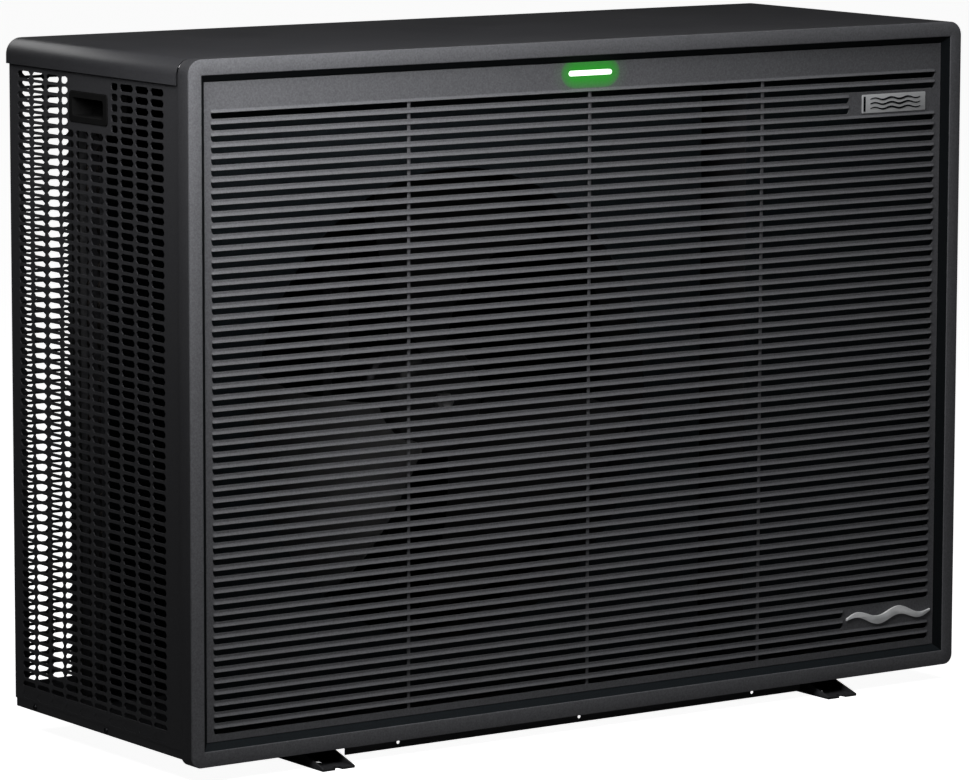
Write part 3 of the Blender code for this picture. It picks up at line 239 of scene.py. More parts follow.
print("patterns ready")

# %% [markdown]
# ## Powder coat
# The case is steel with a fine textured powder coat. Powder melts into a skin with a slight orange
# peel about a millimetre across, and carries darker and lighter grains. Two sizes of noise give that:
# the fine one drives the grain and the bump, and a broad faint one stops large flat sheets from
# looking computed. Rain and handling leave the coat a little rougher in broad, soft patches. One
# function makes every coat: graphite for the front, slate for the walls, a glossier slate for the
# cover made a touch lighter as painted light on the top, and dull dark coats of painted shade for the
# bezel's splayed lip, a little lighter on its bottom ledge, and for the sheets inside. The lip's coat
# also colours the badge's dark inlay.

# %% Powder coats
GRAPHITE = (0.104, 0.105, 0.113)
SLATE = (0.0235, 0.0237, 0.0262)
# The cover's slate, a touch lighter than the walls' as painted light on the top.
SLATE_TOP_PAINTED_LIGHT = (0.0240, 0.0242, 0.0267)
# Near-black painted shade for the bezel's splayed lip; the badge's dark inlay and ripples share it.
PAINTED_SHADE_AND_INLAY = (0.0042, 0.0054, 0.0063)
# Dark bluish painted shade for the sheets inside the case.
INNER_PAINTED_SHADE = (0.018, 0.023, 0.027)


def powder_coat(name, colour, roughness=0.62, grain=0.70, size=1.9 * MM, peel=0.05 * MM, gloss=0.30):
    """A textured powder coat in one colour."""
    finish = Finish(name, colour, roughness)
    fine = finish.noise(size, 3.0)
    broad = finish.noise(90 * MM, 2.0)
    light = (fine - 0.5) * grain + (broad - 0.5) * 0.06 + 0.5
    finish.feed(base_color=finish.blend(light, scaled(colour, 0.35), scaled(colour, 1.65)))
    finish.feed(roughness=roughness + (broad - 0.5) * 0.10 + (fine - 0.5) * 0.08)
    finish.bump(finish.noise(size * 1.3, 2.0), peel, 0.35)
    finish.shader.inputs["Specular IOR Level"].default_value = gloss
    return finish


COAT_DARK = powder_coat("slate_powder_coat", SLATE).material
COAT_TOP = powder_coat("slate_powder_coat_top", SLATE_TOP_PAINTED_LIGHT, 0.40, gloss=0.6).material
# The splayed lip's painted shade, and a lighter copy for its bottom ledge, which faces up to the light.
COAT_SHADE_AND_INLAY = powder_coat("bezel_lining_coat", PAINTED_SHADE_AND_INLAY, 0.85, gloss=0.08).material
COAT_LEDGE_SHADE = powder_coat("bezel_ledge_coat", scaled(PAINTED_SHADE_AND_INLAY, 2.6), 0.8, gloss=0.1).material
COAT_INNER_SHADE = powder_coat("inner_sheet_coat", INNER_PAINTED_SHADE, 0.75, gloss=0.1).material
COAT_FRONT = powder_coat("graphite_powder_coat", GRAPHITE).material
print("powder coats:", COAT_FRONT.name, COAT_DARK.name, COAT_TOP.name, COAT_SHADE_AND_INLAY.name)

# %% [markdown]
# ## The light's painted glow on the panel
# The status light sits in the louvre panel and washes the coat around it in green. That pool of green
# light is painted into the coat, strongest along the bar. Its shape is a distance: from each point of
# the panel to the bar's centre line, which is a straight run with round ends. The same coat is made
# again with that distance tinting its colour green near the bar and driving a faint green emission.

# %% Graphite coat with a painted green glow round the light
LIGHT_LOW, LIGHT_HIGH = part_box("status_light_lens")
GLOW_REACH = 27 * MM
CORE_SHARE = 0.62
WIDER_THAN_HIGH = 1.25
BAR_END = 10 * MM


def painted_glow_coat():
    """Graphite powder coat with the status light's green glow painted into its colour and its emission."""
    finish = powder_coat("graphite_coat_by_the_light", GRAPHITE)
    bar = (LIGHT_LOW + LIGHT_HIGH) / 2
    half = (LIGHT_HIGH.x - LIGHT_LOW.x) / 2 - BAR_END
    axes = [finish.node("ShaderNodeSeparateXYZ", None, {0: finish.place}, axis) for axis in (0, 2)]
    along = ((axes[0] - bar.x).math("ABSOLUTE") - half).math("MAXIMUM", 0.0) / WIDER_THAN_HIGH
    away = axes[1] - bar.z
    distance = (along * along + away * away).math("SQRT")
    near = (1 - distance / GLOW_REACH).math("MAXIMUM", 0.0)
    core = (1 - distance / (GLOW_REACH * CORE_SHARE)).math("MAXIMUM", 0.0).math("POWER", 0.45)
    wash = near * 0.16 + core * 0.84
    base = finish.shader.inputs["Base Color"].links[0].from_socket
    # Painted light: near the bar the coat's colour turns green and the coat gives out green light.
    finish.feed(base_color=finish.blend(core * 0.95, Wire(base), (0.002, 0.03, 0.002)))
    finish.feed(emission_color=finish.blend(wash, (0.0, 0.0, 0.0), (0.010, 0.29, 0.008)))
    finish.shader.inputs["Emission Strength"].default_value = 1.0
    return finish.material


COAT_PAINTED_GLOW = painted_glow_coat()
print("glow reaches", round(GLOW_REACH / MM), "mm from the bar")

# %% [markdown]
# ## Plastics and rubber
# The handle cups, fan, unions and terminal cover are moulded. Spark-eroded moulds leave a fine, dull
# texture much smaller than the powder coat's grain, and the colour hardly varies. Rubber is the same
# idea with more roughness and a coarser bloom.

# %% Moulded plastics and rubber
def moulded(name, colour, roughness, texture=0.35 * MM, depth=0.02 * MM, gloss=0.35):
    """A moulded surface with a spark-eroded texture."""
    finish = Finish(name, colour, roughness)
    finish.shader.inputs["Specular IOR Level"].default_value = gloss
    fine = finish.noise(texture, 2.0)
    cloud = finish.noise(35 * MM, 3.0)
    finish.feed(base_color=finish.blend(cloud, scaled(colour, 0.82), scaled(colour, 1.18)))
    finish.feed(roughness=roughness - 0.06 + cloud * 0.12)
    finish.bump(fine, depth, 0.4)
    return finish.material


PLASTIC_BLACK = moulded("black_moulding", (0.012, 0.012, 0.013), 0.48)
PLASTIC_GREY = moulded("grey_moulding", (0.16, 0.16, 0.17), 0.45)
# The handle cups are black moulding, made near-black and dull as painted shade of their deep pockets.
CUP_PAINTED_SHADE = moulded("cup_moulding", (0.0035, 0.0035, 0.0036), 0.8, gloss=0.08)
RUBBER = moulded("mount_rubber", (0.014, 0.014, 0.014), 0.82, 0.8 * MM, 0.05 * MM, 0.1)
print("mouldings:", PLASTIC_BLACK.name, PLASTIC_GREY.name, RUBBER.name)

# %% [markdown]
# ## Bare and plated metals
# Galvanised sheet shows spangle: flat zinc crystals 6 to 12 mm across, each with its own shade and
# gloss, which Voronoi cells imitate well. Copper darkens in clouds as it is handled and brazed. Brass
# and steel keep fine turning marks. Brushed aluminium is the same noise pulled out along one
# direction. The badge and the emblem take a low metallic value, so that they stay bright where the
# room they would mirror is dark. The coil's fins and tubes stand deep inside the case, and their
# near-black colours are painted shade; they are the same kind of finish.

# %% Metals
def galvanised():
    """Zinc spangle on sheet steel."""
    finish = Finish("galvanised_sheet", (0.36, 0.37, 0.38), 0.42, 0.85)
    cells = finish.node("ShaderNodeTexVoronoi", None, {"Vector": finish.place, "Scale": 110.0}, "Color")
    shade = finish.node("ShaderNodeSeparateColor", None, {0: cells})
    finish.feed(base_color=finish.blend(shade, (0.27, 0.28, 0.29), (0.44, 0.45, 0.47)))
    finish.feed(roughness=0.34 + shade * 0.2)
    finish.bump(finish.noise(3 * MM), 0.02 * MM, 0.3)
    return finish.material


def clouded_metal(name, clean, dull, roughness, cloud=22 * MM, stretch=(1, 1, 1), fine=0.6 * MM,
                  metallic=1.0):
    """A metal whose clean colour dulls in soft clouds, with fine marks in its gloss."""
    finish = Finish(name, clean, roughness, metallic)
    stain = finish.ramp(finish.noise(cloud, 4.0), (0.35, 0.0), (0.75, 1.0))
    marks = finish.noise(fine, 2.0, stretch)
    finish.feed(base_color=finish.blend(stain, clean, dull))
    finish.feed(roughness=roughness + stain * 0.16 + (marks - 0.5) * 0.16)
    finish.bump(marks, 0.01 * MM, 0.3)
    return finish.material


GALVANISED = galvanised()
COPPER = clouded_metal("copper_pipe", (0.66, 0.31, 0.18), (0.30, 0.13, 0.07), 0.28)
BRASS = clouded_metal("brass", (0.62, 0.47, 0.20), (0.36, 0.25, 0.10), 0.30)
STEEL = clouded_metal("zinc_plated_steel", (0.56, 0.56, 0.57), (0.42, 0.42, 0.43), 0.30)
STEEL_DARK = clouded_metal("black_enamelled_steel", (0.030, 0.030, 0.033), (0.018, 0.018, 0.020), 0.36)
BRUSHED = clouded_metal("brushed_aluminium", (0.62, 0.63, 0.64), (0.50, 0.51, 0.52), 0.48,
                        60 * MM, (60, 1, 1), 0.35 * MM, 0.2)
CHROME = clouded_metal("satin_chrome", (0.86, 0.87, 0.88), (0.70, 0.71, 0.72), 0.36, 14 * MM, metallic=0.1)
# The coil's near-black fins and tubes are painted shade of the case's inside.
FIN_PAINTED_SHADE = clouded_metal("coated_fin_aluminium", (0.030, 0.036, 0.042), (0.020, 0.024, 0.028), 0.5, 40 * MM)
TUBE_PAINTED_SHADE = clouded_metal("epoxy_coated_tube", (0.030, 0.026, 0.024), (0.018, 0.016, 0.015), 0.5)
print("metals:", GALVANISED.name, COPPER.name, BRASS.name, STEEL.name, BRUSHED.name, CHROME.name)

# %% [markdown]
# ## The circuit board and the lit lens
# A board is green lacquer over copper tracks, so the tracks show as slightly lighter straight lines.
# A brick pattern gives straight tracks with breaks in them at almost no cost. The lens is the one
# piece that gives out light: clear green plastic over a row of diodes, burnt out to near white.

# %% Board and lens
def board_lacquer():
    """Green lacquer with tracks under it."""
    finish = Finish("board_lacquer", (0.02, 0.12, 0.05), 0.35, coat=0.4)
    flat = finish.node("ShaderNodeMapping", None, {"Vector": finish.place, "Rotation": (math.pi / 2, 0, 0)})
    values = {"Vector": flat, "Scale": 90.0, "Mortar Size": 0.06, "Brick Width": 1.3, "Row Height": 0.22}
    tracks = finish.node("ShaderNodeTexBrick", None, values, "Fac")
    finish.feed(base_color=finish.blend(tracks, (0.012, 0.085, 0.035), (0.05, 0.20, 0.09)))
    finish.bump(tracks, 0.03 * MM, 0.5)
    return finish.material


def lit_lens():
    """Green lens lit from behind, brightest along its middle."""
    finish = Finish("lit_green_lens", (0.55, 0.95, 0.55), 0.25, coat=0.5)
    ripple = finish.noise(5 * MM)
    finish.feed(emission_color=finish.blend(ripple, (0.82, 1.0, 0.80), (0.95, 1.0, 0.93)))
    finish.shader.inputs["Emission Strength"].default_value = 1.6
    return finish.material


BOARD = board_lacquer()
LENS = lit_lens()
print("board and lens:", BOARD.name, LENS.name)

# %% [markdown]
# ## From a drawn shape to a finished piece
# Every piece ends the same way: its mesh is drawn from the case's corner, moved there for good, shaded
# smooth except over sharp edges, and then declared. Declaring puts it on the body it moves with and
# hides the measured nodes that it stands for.

def make_piece(name, shape, *finishes, smooth=32, from_corner=True, recalculate=True):
    """Turn a bmesh into a named object whose place is in its mesh."""
    if recalculate:
        bmesh.ops.recalc_face_normals(shape, faces=shape.faces)
    mesh = bpy.data.meshes.new(name)
    shape.to_mesh(mesh)
    shape.free()
    if from_corner:
        mesh.transform(Matrix.Translation(CORNER))
    return hold_mesh(name, mesh, *finishes, smooth=smooth)


def hold_mesh(name, mesh, *finishes, smooth=32):
    """An object for a finished mesh, with its materials and smooth shading."""
    picks = [face.material_index for face in mesh.polygons]
    mesh.materials.clear()
    for finish in finishes:
        mesh.materials.append(finish)
    if len(finishes) > 1:
        mesh.polygons.foreach_set("material_index", picks)
    mesh.shade_smooth()
    mesh.set_sharp_from_angle(angle=math.radians(smooth))
    piece = bpy.data.objects.new(name, mesh)
    bpy.context.scene.collection.objects.link(piece)
    return piece


def declare(piece, slot, *nodes, body="case"):
    """Put a piece on the body it moves with and hide the measured nodes it stands for; the slot is not used.
    """
    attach(piece, body)
    if nodes:
        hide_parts(*nodes)
    print(f"{piece.name}: {len(piece.data.polygons)} faces")
    return piece


def baked(piece):
    """The piece with its modifiers worked into a plain mesh."""
    bpy.context.view_layer.update()
    seen = piece.evaluated_get(bpy.context.evaluated_depsgraph_get())
    mesh = bpy.data.meshes.new_from_object(seen)
    piece.modifiers.clear()
    piece.data = mesh
    return piece


def discard(*objects):
    """Take away helper objects."""
    for item in objects:
        bpy.data.objects.remove(item, do_unlink=True)


print("pieces ride on", ", ".join(frame["bodies"]))

# %% [markdown]
# ## Basic shapes
# Most flat pieces are an outline carried through steps along an axis. A slab is an outline with two
# steps, or four when its rims are chamfered. Each function returns a bmesh, so a piece can be worked
# on further before it is finished.

# %% Outlines and slabs
ORDERS = {
    "x": lambda u, v, w: (w, u, v),
    "y": lambda u, v, w: (u, w, v),
    "z": lambda u, v, w: (u, v, w),
}


def arc(centre, radius, start, end, steps):
    """Points along a round corner, in degrees."""
    turns = [math.radians(start + (end - start) * step / steps) for step in range(steps + 1)]
    return [(centre[0] + radius * math.cos(turn), centre[1] + radius * math.sin(turn)) for turn in turns]


def rounded_box_outline(low, high, radii, steps=8):
    """A rectangle with its own radius at each corner, anticlockwise from the lower left."""
    (x0, z0), (x1, z1) = low, high
    corners = ((x0, z0, 1, 1, 180), (x1, z0, -1, 1, 270), (x1, z1, -1, -1, 0), (x0, z1, 1, -1, 90))
    points = []
    for (x, z, side, lift, start), radius in zip(corners, radii):
        points += arc((x + side * radius, z + lift * radius), radius, start, start + 90, steps)
    return points


def stepped(outline, axis, steps, shape=None, material=0):
    """An outline carried through (inset, place) steps along an axis and closed at both ends."""
    shape = shape or bmesh.new()
    order = ORDERS[axis]
    loops = [[shape.verts.new(order(u, v, w)) for u, v in shrunk(outline, inset)] for inset, w in steps]
    for first, second in zip(loops, loops[1:]):
        bridge(shape, first, second, material=material)
    for end in (loops[0], loops[-1]):
        shape.faces.new(end).material_index = material
    return shape


def slab(outline, axis, start, end, edge=0.0):
    """An outline pulled along an axis, with its far and near rims chamfered by edge."""
    if not edge:
        return stepped(outline, axis, [(0, start), (0, end)])
    ward = edge if end > start else -edge
    return stepped(outline, axis, [(edge, start), (0, start + ward), (0, end - ward), (edge, end)])


def shrunk(outline, inset):
    """An anticlockwise outline moved inwards."""
    if not inset:
        return outline
    points = []
    for before, at, after in zip(outline[-1:] + outline[:-1], outline, outline[1:] + outline[:1]):
        before, at, after = Vector(before), Vector(at), Vector(after)
        sides = [(step.normalized() if step.length > 1e-9 else None) for step in (at - before, after - at)]
        first, second = sides[0] or sides[1], sides[1] or sides[0]
        inward = (Vector((-first.y, first.x)) + Vector((-second.y, second.x))).normalized()
        points.append(tuple(at + inward * inset))
    return points


def bridge(shape, first, second, closed=True, material=0):
    """Faces between two equal runs of points, or between a run and one point."""
    count = max(len(first), len(second))
    for step in range(count if closed else count - 1):
        after = (step + 1) % count
        if len(first) == 1:
            corners = (first[0], second[step], second[after])
        elif len(second) == 1:
            corners = (first[step], first[after], second[0])
        else:
            corners = (first[step], first[after], second[after], second[step])
        shape.faces.new(corners).material_index = material


print("outlines and slabs ready")

# %% [markdown]
# ## Turned and softened shapes
# A turned shape is a profile of points, each carried round an axis. A reach that changes with the turn
# gives hexagons and grip lugs from the same function. A measured piece that already has its true shape
# is copied instead, and every sharp edge of the copy gets a small chamfer.

# %% Turned shapes, and measured shapes with broken edges
def turned(profile, axis="z", centre=(0, 0, 0), steps=72, closed=False, reach=None):
    """A profile of (radius, height) points turned round an axis through the centre.

    A reach function of a point and a turn gives the radius there, for shapes that aren't quite round.
    """
    shape = bmesh.new()
    order = ORDERS[axis]
    centre = Vector(centre)
    rings = []
    for point in profile:
        ring = []
        for step in range(steps if point[0] else 1):
            turn = 2 * math.pi * step / steps
            radius = reach(point, turn) if reach else point[0]
            spot = order(radius * math.cos(turn), radius * math.sin(turn), point[1])
            ring.append(shape.verts.new(centre + Vector(spot)))
        rings.append(ring)
    for first, second in zip(rings, rings[1:]):
        bridge(shape, first, second)
    if closed:
        bridge(shape, rings[-1], rings[0])
    return shape


SHARP_EDGE = math.radians(28)


def softened(node, name, *finishes, width=0.4 * MM, smooth=40):
    """A copy of a measured node with its edges broken, as a press or a mould leaves them."""
    shape = bmesh.new()
    shape.from_mesh(frame["nodes"][node].data)
    bmesh.ops.remove_doubles(shape, verts=shape.verts, dist=0.01 * MM)
    bmesh.ops.dissolve_limit(shape, angle_limit=math.radians(1), verts=shape.verts, edges=shape.edges)
    edges = [edge for edge in shape.edges if edge.is_manifold and edge.calc_face_angle(0) > SHARP_EDGE]
    bmesh.ops.bevel(shape, geom=edges, offset=width, segments=1, affect="EDGES", clamp_overlap=True)
    return make_piece(name, shape, *finishes, smooth=smooth, from_corner=False)


print("turned and softened shapes ready")

# %% [markdown]
# ## The front bezel
# The bezel is a moulded picture frame: a flat face, a lip that splays inwards at 45 degrees, and a
# return that the louvre panel sits in. Carrying one section round a rounded rectangle makes all four
# sides and the mitred inner corners at once. Real mouldings never have a knife edge, so the section
# has a small radius wherever it turns, and those radii are what catches the light. The splayed lip is
# coloured near-black as painted shade, a little lighter along the bottom, where it faces up to the light.

# %% Bezel: one section carried round the front
FACE_SIDE, FACE_TOP = 15.0 * MM, 16.2 * MM
SPLAY = 7.5 * MM
RADIUS_TOP, RADIUS_BOTTOM = 16 * MM, 11 * MM
BEZEL_RIM = 2.2 * MM
PANEL_FACE = span("louvre_panel")[0].y


def carried_round(section, finish_of=lambda step, side: 0, steps=10):
    """A closed section of (side inset, top inset, y) points carried round the front of the case."""
    shape = bmesh.new()
    loops = []
    for side, top, y in section:
        low_radius, high_radius = max(RADIUS_BOTTOM - side, 0.3 * MM), max(RADIUS_TOP - side, 0.3 * MM)
        outline = rounded_box_outline((side, top), (WIDTH - side, HEIGHT - top),
                                      (low_radius, low_radius, high_radius, high_radius), steps)
        loops.append([shape.verts.new((x, y, z)) for x, z in outline])
    for step, (first, second) in enumerate(zip(loops, loops[1:] + loops[:1])):
        for start in range(len(first)):
            after = (start + 1) % len(first)
            face = shape.faces.new((first[start], first[after], second[after], second[start]))
            face.material_index = finish_of(step, start // (steps + 1))
    return shape


def make_bezel():
    """Flat face, splayed lip and hidden return."""
    inner, inner_top = FACE_SIDE + SPLAY, FACE_TOP + SPLAY
    back = span("front_bezel")[1].y
    lip = PANEL_FACE - 0.3 * MM
    wall = 2.0 * MM
    soft = 0.5 * MM
    section = [
        (0, 0, BEZEL_RIM), (0, 0, soft), (soft * 0.3, soft * 0.3, soft * 0.3), (soft, soft, 0),
        (FACE_SIDE - soft, FACE_TOP - soft, 0), (FACE_SIDE - 0.1 * MM, FACE_TOP - 0.1 * MM, 0.1 * MM),
        (FACE_SIDE + 0.5 * MM, FACE_TOP + 0.5 * MM, 0.75 * MM),
        (inner, inner_top, lip), (inner, inner_top, back), (inner - wall, inner_top - wall, back),
        (inner - wall, inner_top - wall, PANEL_FACE + wall / 2),
        (FACE_SIDE - wall / 2, FACE_TOP - wall / 2, BEZEL_RIM),
    ]
    splay_steps, bottom_side = (6, 7), 0

    def finish_of(step, side):
        """Front coat everywhere but on the splay, which takes painted shade; its bottom side, the ledge,
        takes a lighter painted shade.
        """
        if step not in splay_steps:
            return 0
        return 2 if side == bottom_side else 1

    shape = carried_round(section, finish_of)
    return make_piece("bezel", shape, COAT_FRONT, COAT_SHADE_AND_INLAY, COAT_LEDGE_SHADE, smooth=24)


declare(make_bezel(), "paint_front", "front_bezel")

# %% [markdown]
# ## The frame behind the bezel
# A folded skin runs round behind the bezel and carries the louvre panel on a narrow web. It starts
# just under a millimetre behind the bezel's rim, and that open joint is the thin black line seen all
# along the case's front edge. It is the same kind of shape as the bezel, so it is made the same way.

# %% Front frame
def make_front_frame():
    """Outer skin and inner web behind the bezel."""
    low, high = span("front_frame")
    web, web_width = low.y + 9.5 * MM, 30 * MM
    soft = 0.25 * MM
    section = [
        (soft, soft, low.y), (0, 0, low.y + soft), (0, 0, high.y), (SHEET, SHEET, high.y),
        (SHEET, SHEET, web + SHEET), (web_width, web_width, web + SHEET), (web_width, web_width, web),
        (SHEET, SHEET, web), (SHEET, SHEET, low.y),
    ]
    return make_piece("front_skin", carried_round(section), COAT_DARK, smooth=50)


declare(make_front_frame(), "paint_side", "front_frame")

# %% [markdown]
# ## A small builder for Geometry Nodes
# Whatever repeats is made by a node tree: the tree holds the rule, its named inputs hold the sizes,
# and the result is turned into a plain mesh once. The builder below keeps that short. `given` is a
# named input, `node` adds a node, and `grow` sets the inputs, evaluates the tree, and hands back the
# mesh with the helper object and its modifier gone.

# %% The builder
KINDS = {
    bool: "NodeSocketBool", int: "NodeSocketInt", float: "NodeSocketFloat", tuple: "NodeSocketVector",
    bpy.types.Object: "NodeSocketObject", bpy.types.Material: "NodeSocketMaterial",
}


class Growth:
    """A Geometry Nodes tree with named inputs."""

    def __init__(self, name, **inputs):
        self.tree = bpy.data.node_groups.new(name, "GeometryNodeTree")
        self.values = {}
        self.tree.interface.new_socket("Geometry", in_out="OUTPUT", socket_type="NodeSocketGeometry")
        for label, value in inputs.items():
            kind = next(socket for form, socket in KINDS.items() if isinstance(value, form))
            item = self.tree.interface.new_socket(label, in_out="INPUT", socket_type=kind)
            self.values[item.identifier] = value
        self.source = self.tree.nodes.new("NodeGroupInput")

    def given(self, label):
        return Wire(self.source.outputs[label])

    def node(self, kind, settings=None, values=None, output=0):
        return add_node(self.tree, kind, settings, values, output)

    def vector(self, x=0.0, y=0.0, z=0.0):
        return self.node("ShaderNodeCombineXYZ", None, {0: x, 1: y, 2: z})

    def join(self, *parts):
        joined = self.tree.nodes.new("GeometryNodeJoinGeometry")
        for part in parts:
            self.tree.links.new(part.socket, joined.inputs[0])
        return Wire(joined.outputs[0])

    def object_mesh(self, label):
        return self.node("GeometryNodeObjectInfo", None, {0: self.given(label)}, "Geometry")

    def copies(self, points, shape, **more):
        values = {"Points": points, "Instance": shape} | {key.title(): wire for key, wire in more.items()}
        return self.node("GeometryNodeInstanceOnPoints", None, values)

    def placed(self, shape, move, turn=(0.0, 0.0, 0.0)):
        values = {"Geometry": shape, "Translation": move, "Rotation": turn}
        return self.node("GeometryNodeTransform", None, values)

    def grow(self, shape):
        """Finish the tree on this geometry and return what it makes as a plain mesh."""
        whole = self.node("GeometryNodeRealizeInstances", None, {0: shape})
        values = {"Geometry": whole, "Material": self.given("Finish")}
        done = self.node("GeometryNodeSetMaterial", None, values)
        end = self.tree.nodes.new("NodeGroupOutput")
        self.tree.links.new(done.socket, end.inputs[0])
        helper = bpy.data.objects.new(self.tree.name, bpy.data.meshes.new(self.tree.name))
        bpy.context.scene.collection.objects.link(helper)
        step = helper.modifiers.new("growth", "NODES")
        step.node_group = self.tree
        for key, value in self.values.items():
            step[key] = value
        mesh = baked(helper).data
        discard(helper)
        print(f"{self.tree.name}: grew {len(mesh.polygons)} faces")
        return mesh


print("builder ready")

# %% [markdown]
# ## The louvre panel: one row
# The panel is pressed from sheet. In each row the press cuts one long slot and pushes the metal above
# it outwards, so that every slat stays flat along its upper half and leans out along its lower edge,
# where it sheds rain and catches the light. The slot's lower corners are rounded and the lean dies
# away at both ends. One row is drawn here as a strip: two sections, one below and one above the slot,
# which meet wherever the slot is closed.

# %% Draw one row of the panel
LOUVRE_LOW, LOUVRE_HIGH = span("louvre_panel")
ROWS = 55
FIRST_ROW, LAST_ROW = 36.4 * MM, HEIGHT - 58.6 * MM
ROW_PITCH = (LAST_ROW - FIRST_ROW) / (ROWS - 1)
SLOT_LEFT, SLOT_RIGHT = 31.2 * MM, WIDTH - 31.2 * MM
SHORT_SLOT_RIGHT = WIDTH - 156 * MM
LEAN = 2.5 * MM
SLOT_TOP, SLOT_BOTTOM = 2.15 * MM, -4.25 * MM
END_LENGTH = 3.6 * MM
METAL = 1.1 * MM
END_SHARES = (0.0, 0.16, 0.34, 0.56, 0.78, 1.0)
LEAN_SHAPE = ((0.45, 1.0), (1.3, 0.72), (2.2, 0.36), (2.9, 0.09), (3.3, 0.0))


def panel_columns():
    """Every x at which a slot of either length changes."""
    reaches = [END_LENGTH * (1 - math.cos(share * math.pi / 2)) for share in END_SHARES]
    left = [SLOT_LEFT + reach for reach in reaches]
    right = [end - reach for end in (SHORT_SLOT_RIGHT, SLOT_RIGHT) for reach in reaches[::-1]]
    return [LOUVRE_LOW.x, *left, *right, LOUVRE_HIGH.x]


def openness(x, right_end):
    """How far open the slot is at x: 0 outside it, 1 along its run, a quarter circle at its ends."""
    inside = min(x - SLOT_LEFT, right_end - x)
    if inside <= 1e-7:
        return 0.0
    return math.sin(math.acos(max(1 - inside / END_LENGTH, 0.0)))


def row_section(share):
    """The strip's (height, depth) points: front and back below the slot, front and back above it."""
    lean, half = LEAN * share, ROW_PITCH / 2
    bottom = SLOT_TOP + (SLOT_BOTTOM - SLOT_TOP) * share
    soft = 0.3 * MM * share
    low_front = [(-half, 0), (bottom - 2 * soft, 0), (bottom - 0.5 * soft, 0.5 * soft), (bottom, 2 * soft)]
    low_back = [(bottom, METAL), (-half, METAL)]
    high_front = [(SLOT_TOP, 1.6 * soft - lean), (SLOT_TOP + 0.3 * soft, 0.4 * soft - lean)]
    high_front += [(SLOT_TOP + rise * MM, -lean * part) for rise, part in LEAN_SHAPE] + [(half, 0)]
    high_back = [(SLOT_TOP, METAL - lean)]
    high_back += [(SLOT_TOP + rise * MM, METAL - lean * part) for rise, part in LEAN_SHAPE[1:]]
    high_back.append((half, METAL))
    return low_front, low_back, high_front, high_back


def make_row(right_end):
    """One row of the panel, from edge to edge, about its own height."""
    shape = bmesh.new()
    columns = panel_columns()
    shares = [openness(x, right_end) for x in columns]
    made = [[[shape.verts.new((x, PANEL_FACE + y, z)) for z, y in run] for run in row_section(share)]
            for x, share in zip(columns, shares)]
    for (first, second), open_pair in zip(zip(made, made[1:]), zip(shares, shares[1:])):
        for one, two in zip(first, second):
            bridge(shape, one, two, closed=False)
        if max(open_pair) > 0:
            for low, edge, high in ((0, 3, 1), (2, 0, 3)):
                shape.faces.new((first[low][edge], second[low][edge], second[high][0], first[high][0]))
    for low_front, low_back, high_front, high_back in (made[0], made[-1]):
        shape.faces.new(low_front + low_back)
        shape.faces.new(high_front + high_back[::-1])
    bmesh.ops.remove_doubles(shape, verts=shape.verts, dist=0.001 * MM)
    return make_piece("row_pattern", shape, COAT_PAINTED_GLOW, from_corner=False)


print("one row is drawn from", len(panel_columns()), "columns of points")

# %% [markdown]
# ## The louvre panel: the plain bands
# Above and below the rows the sheet is plain. Both bands are drawn with the same columns of points as
# the rows, so that they meet the rows corner to corner. The upper one gets the status light's window,
# cut by a Boolean whose cutter is the lens's outline with a little room round it.

# %% Draw the bands
def make_bands():
    """The solid bands above and below the rows, the upper one with the status light's window."""
    shape = bmesh.new()
    bottoms = (LOUVRE_LOW.z, LAST_ROW + ROW_PITCH / 2)
    tops = (FIRST_ROW - ROW_PITCH / 2, LOUVRE_HIGH.z)
    columns = panel_columns()
    back = PANEL_FACE + METAL
    for bottom, top in zip(bottoms, tops):
        spots = [(PANEL_FACE, bottom), (PANEL_FACE, top), (back, top), (back, bottom)]
        lines = [[shape.verts.new((x, y, z)) for y, z in spots] for x in columns]
        for first, second in zip(lines, lines[1:]):
            bridge(shape, first, second)
        shape.faces.new(lines[0])
        shape.faces.new(lines[-1])
    bands = make_piece("band_pattern", shape, COAT_PAINTED_GLOW, from_corner=False)
    low, high = span("status_light_lens")
    room = 0.35 * MM
    radius = (high.z - low.z) / 2 + room
    corners = (low.x - room, low.z - room), (high.x + room, high.z + room)
    outline = rounded_box_outline(*corners, (radius,) * 4, 6)
    window = make_piece("window_cutter", slab(outline, "y", 0, 2 * PANEL_FACE), COAT_PAINTED_GLOW, from_corner=False)
    cut = bands.modifiers.new("window", "BOOLEAN")
    cut.object = window
    baked(bands)
    discard(window)
    return bands


LONG_ROW, SHORT_ROW, BANDS = make_row(SLOT_RIGHT), make_row(SHORT_SLOT_RIGHT), make_bands()
print(ROWS, "rows at", round(ROW_PITCH / MM, 2), "mm, each of", len(LONG_ROW.data.polygons), "faces")

# %% [markdown]
# ## The louvre panel: stacking the rows
# A real press steps up the sheet one row at a time. The tree does the same: a line of points, one for
# each row, with a long strip on most of them. The third and fourth rows from each end stop short to
# leave flat metal for the two plates, so those points get the short strip. Every strip has corners in
# the same places along its edges, so merging by distance leaves one watertight sheet.

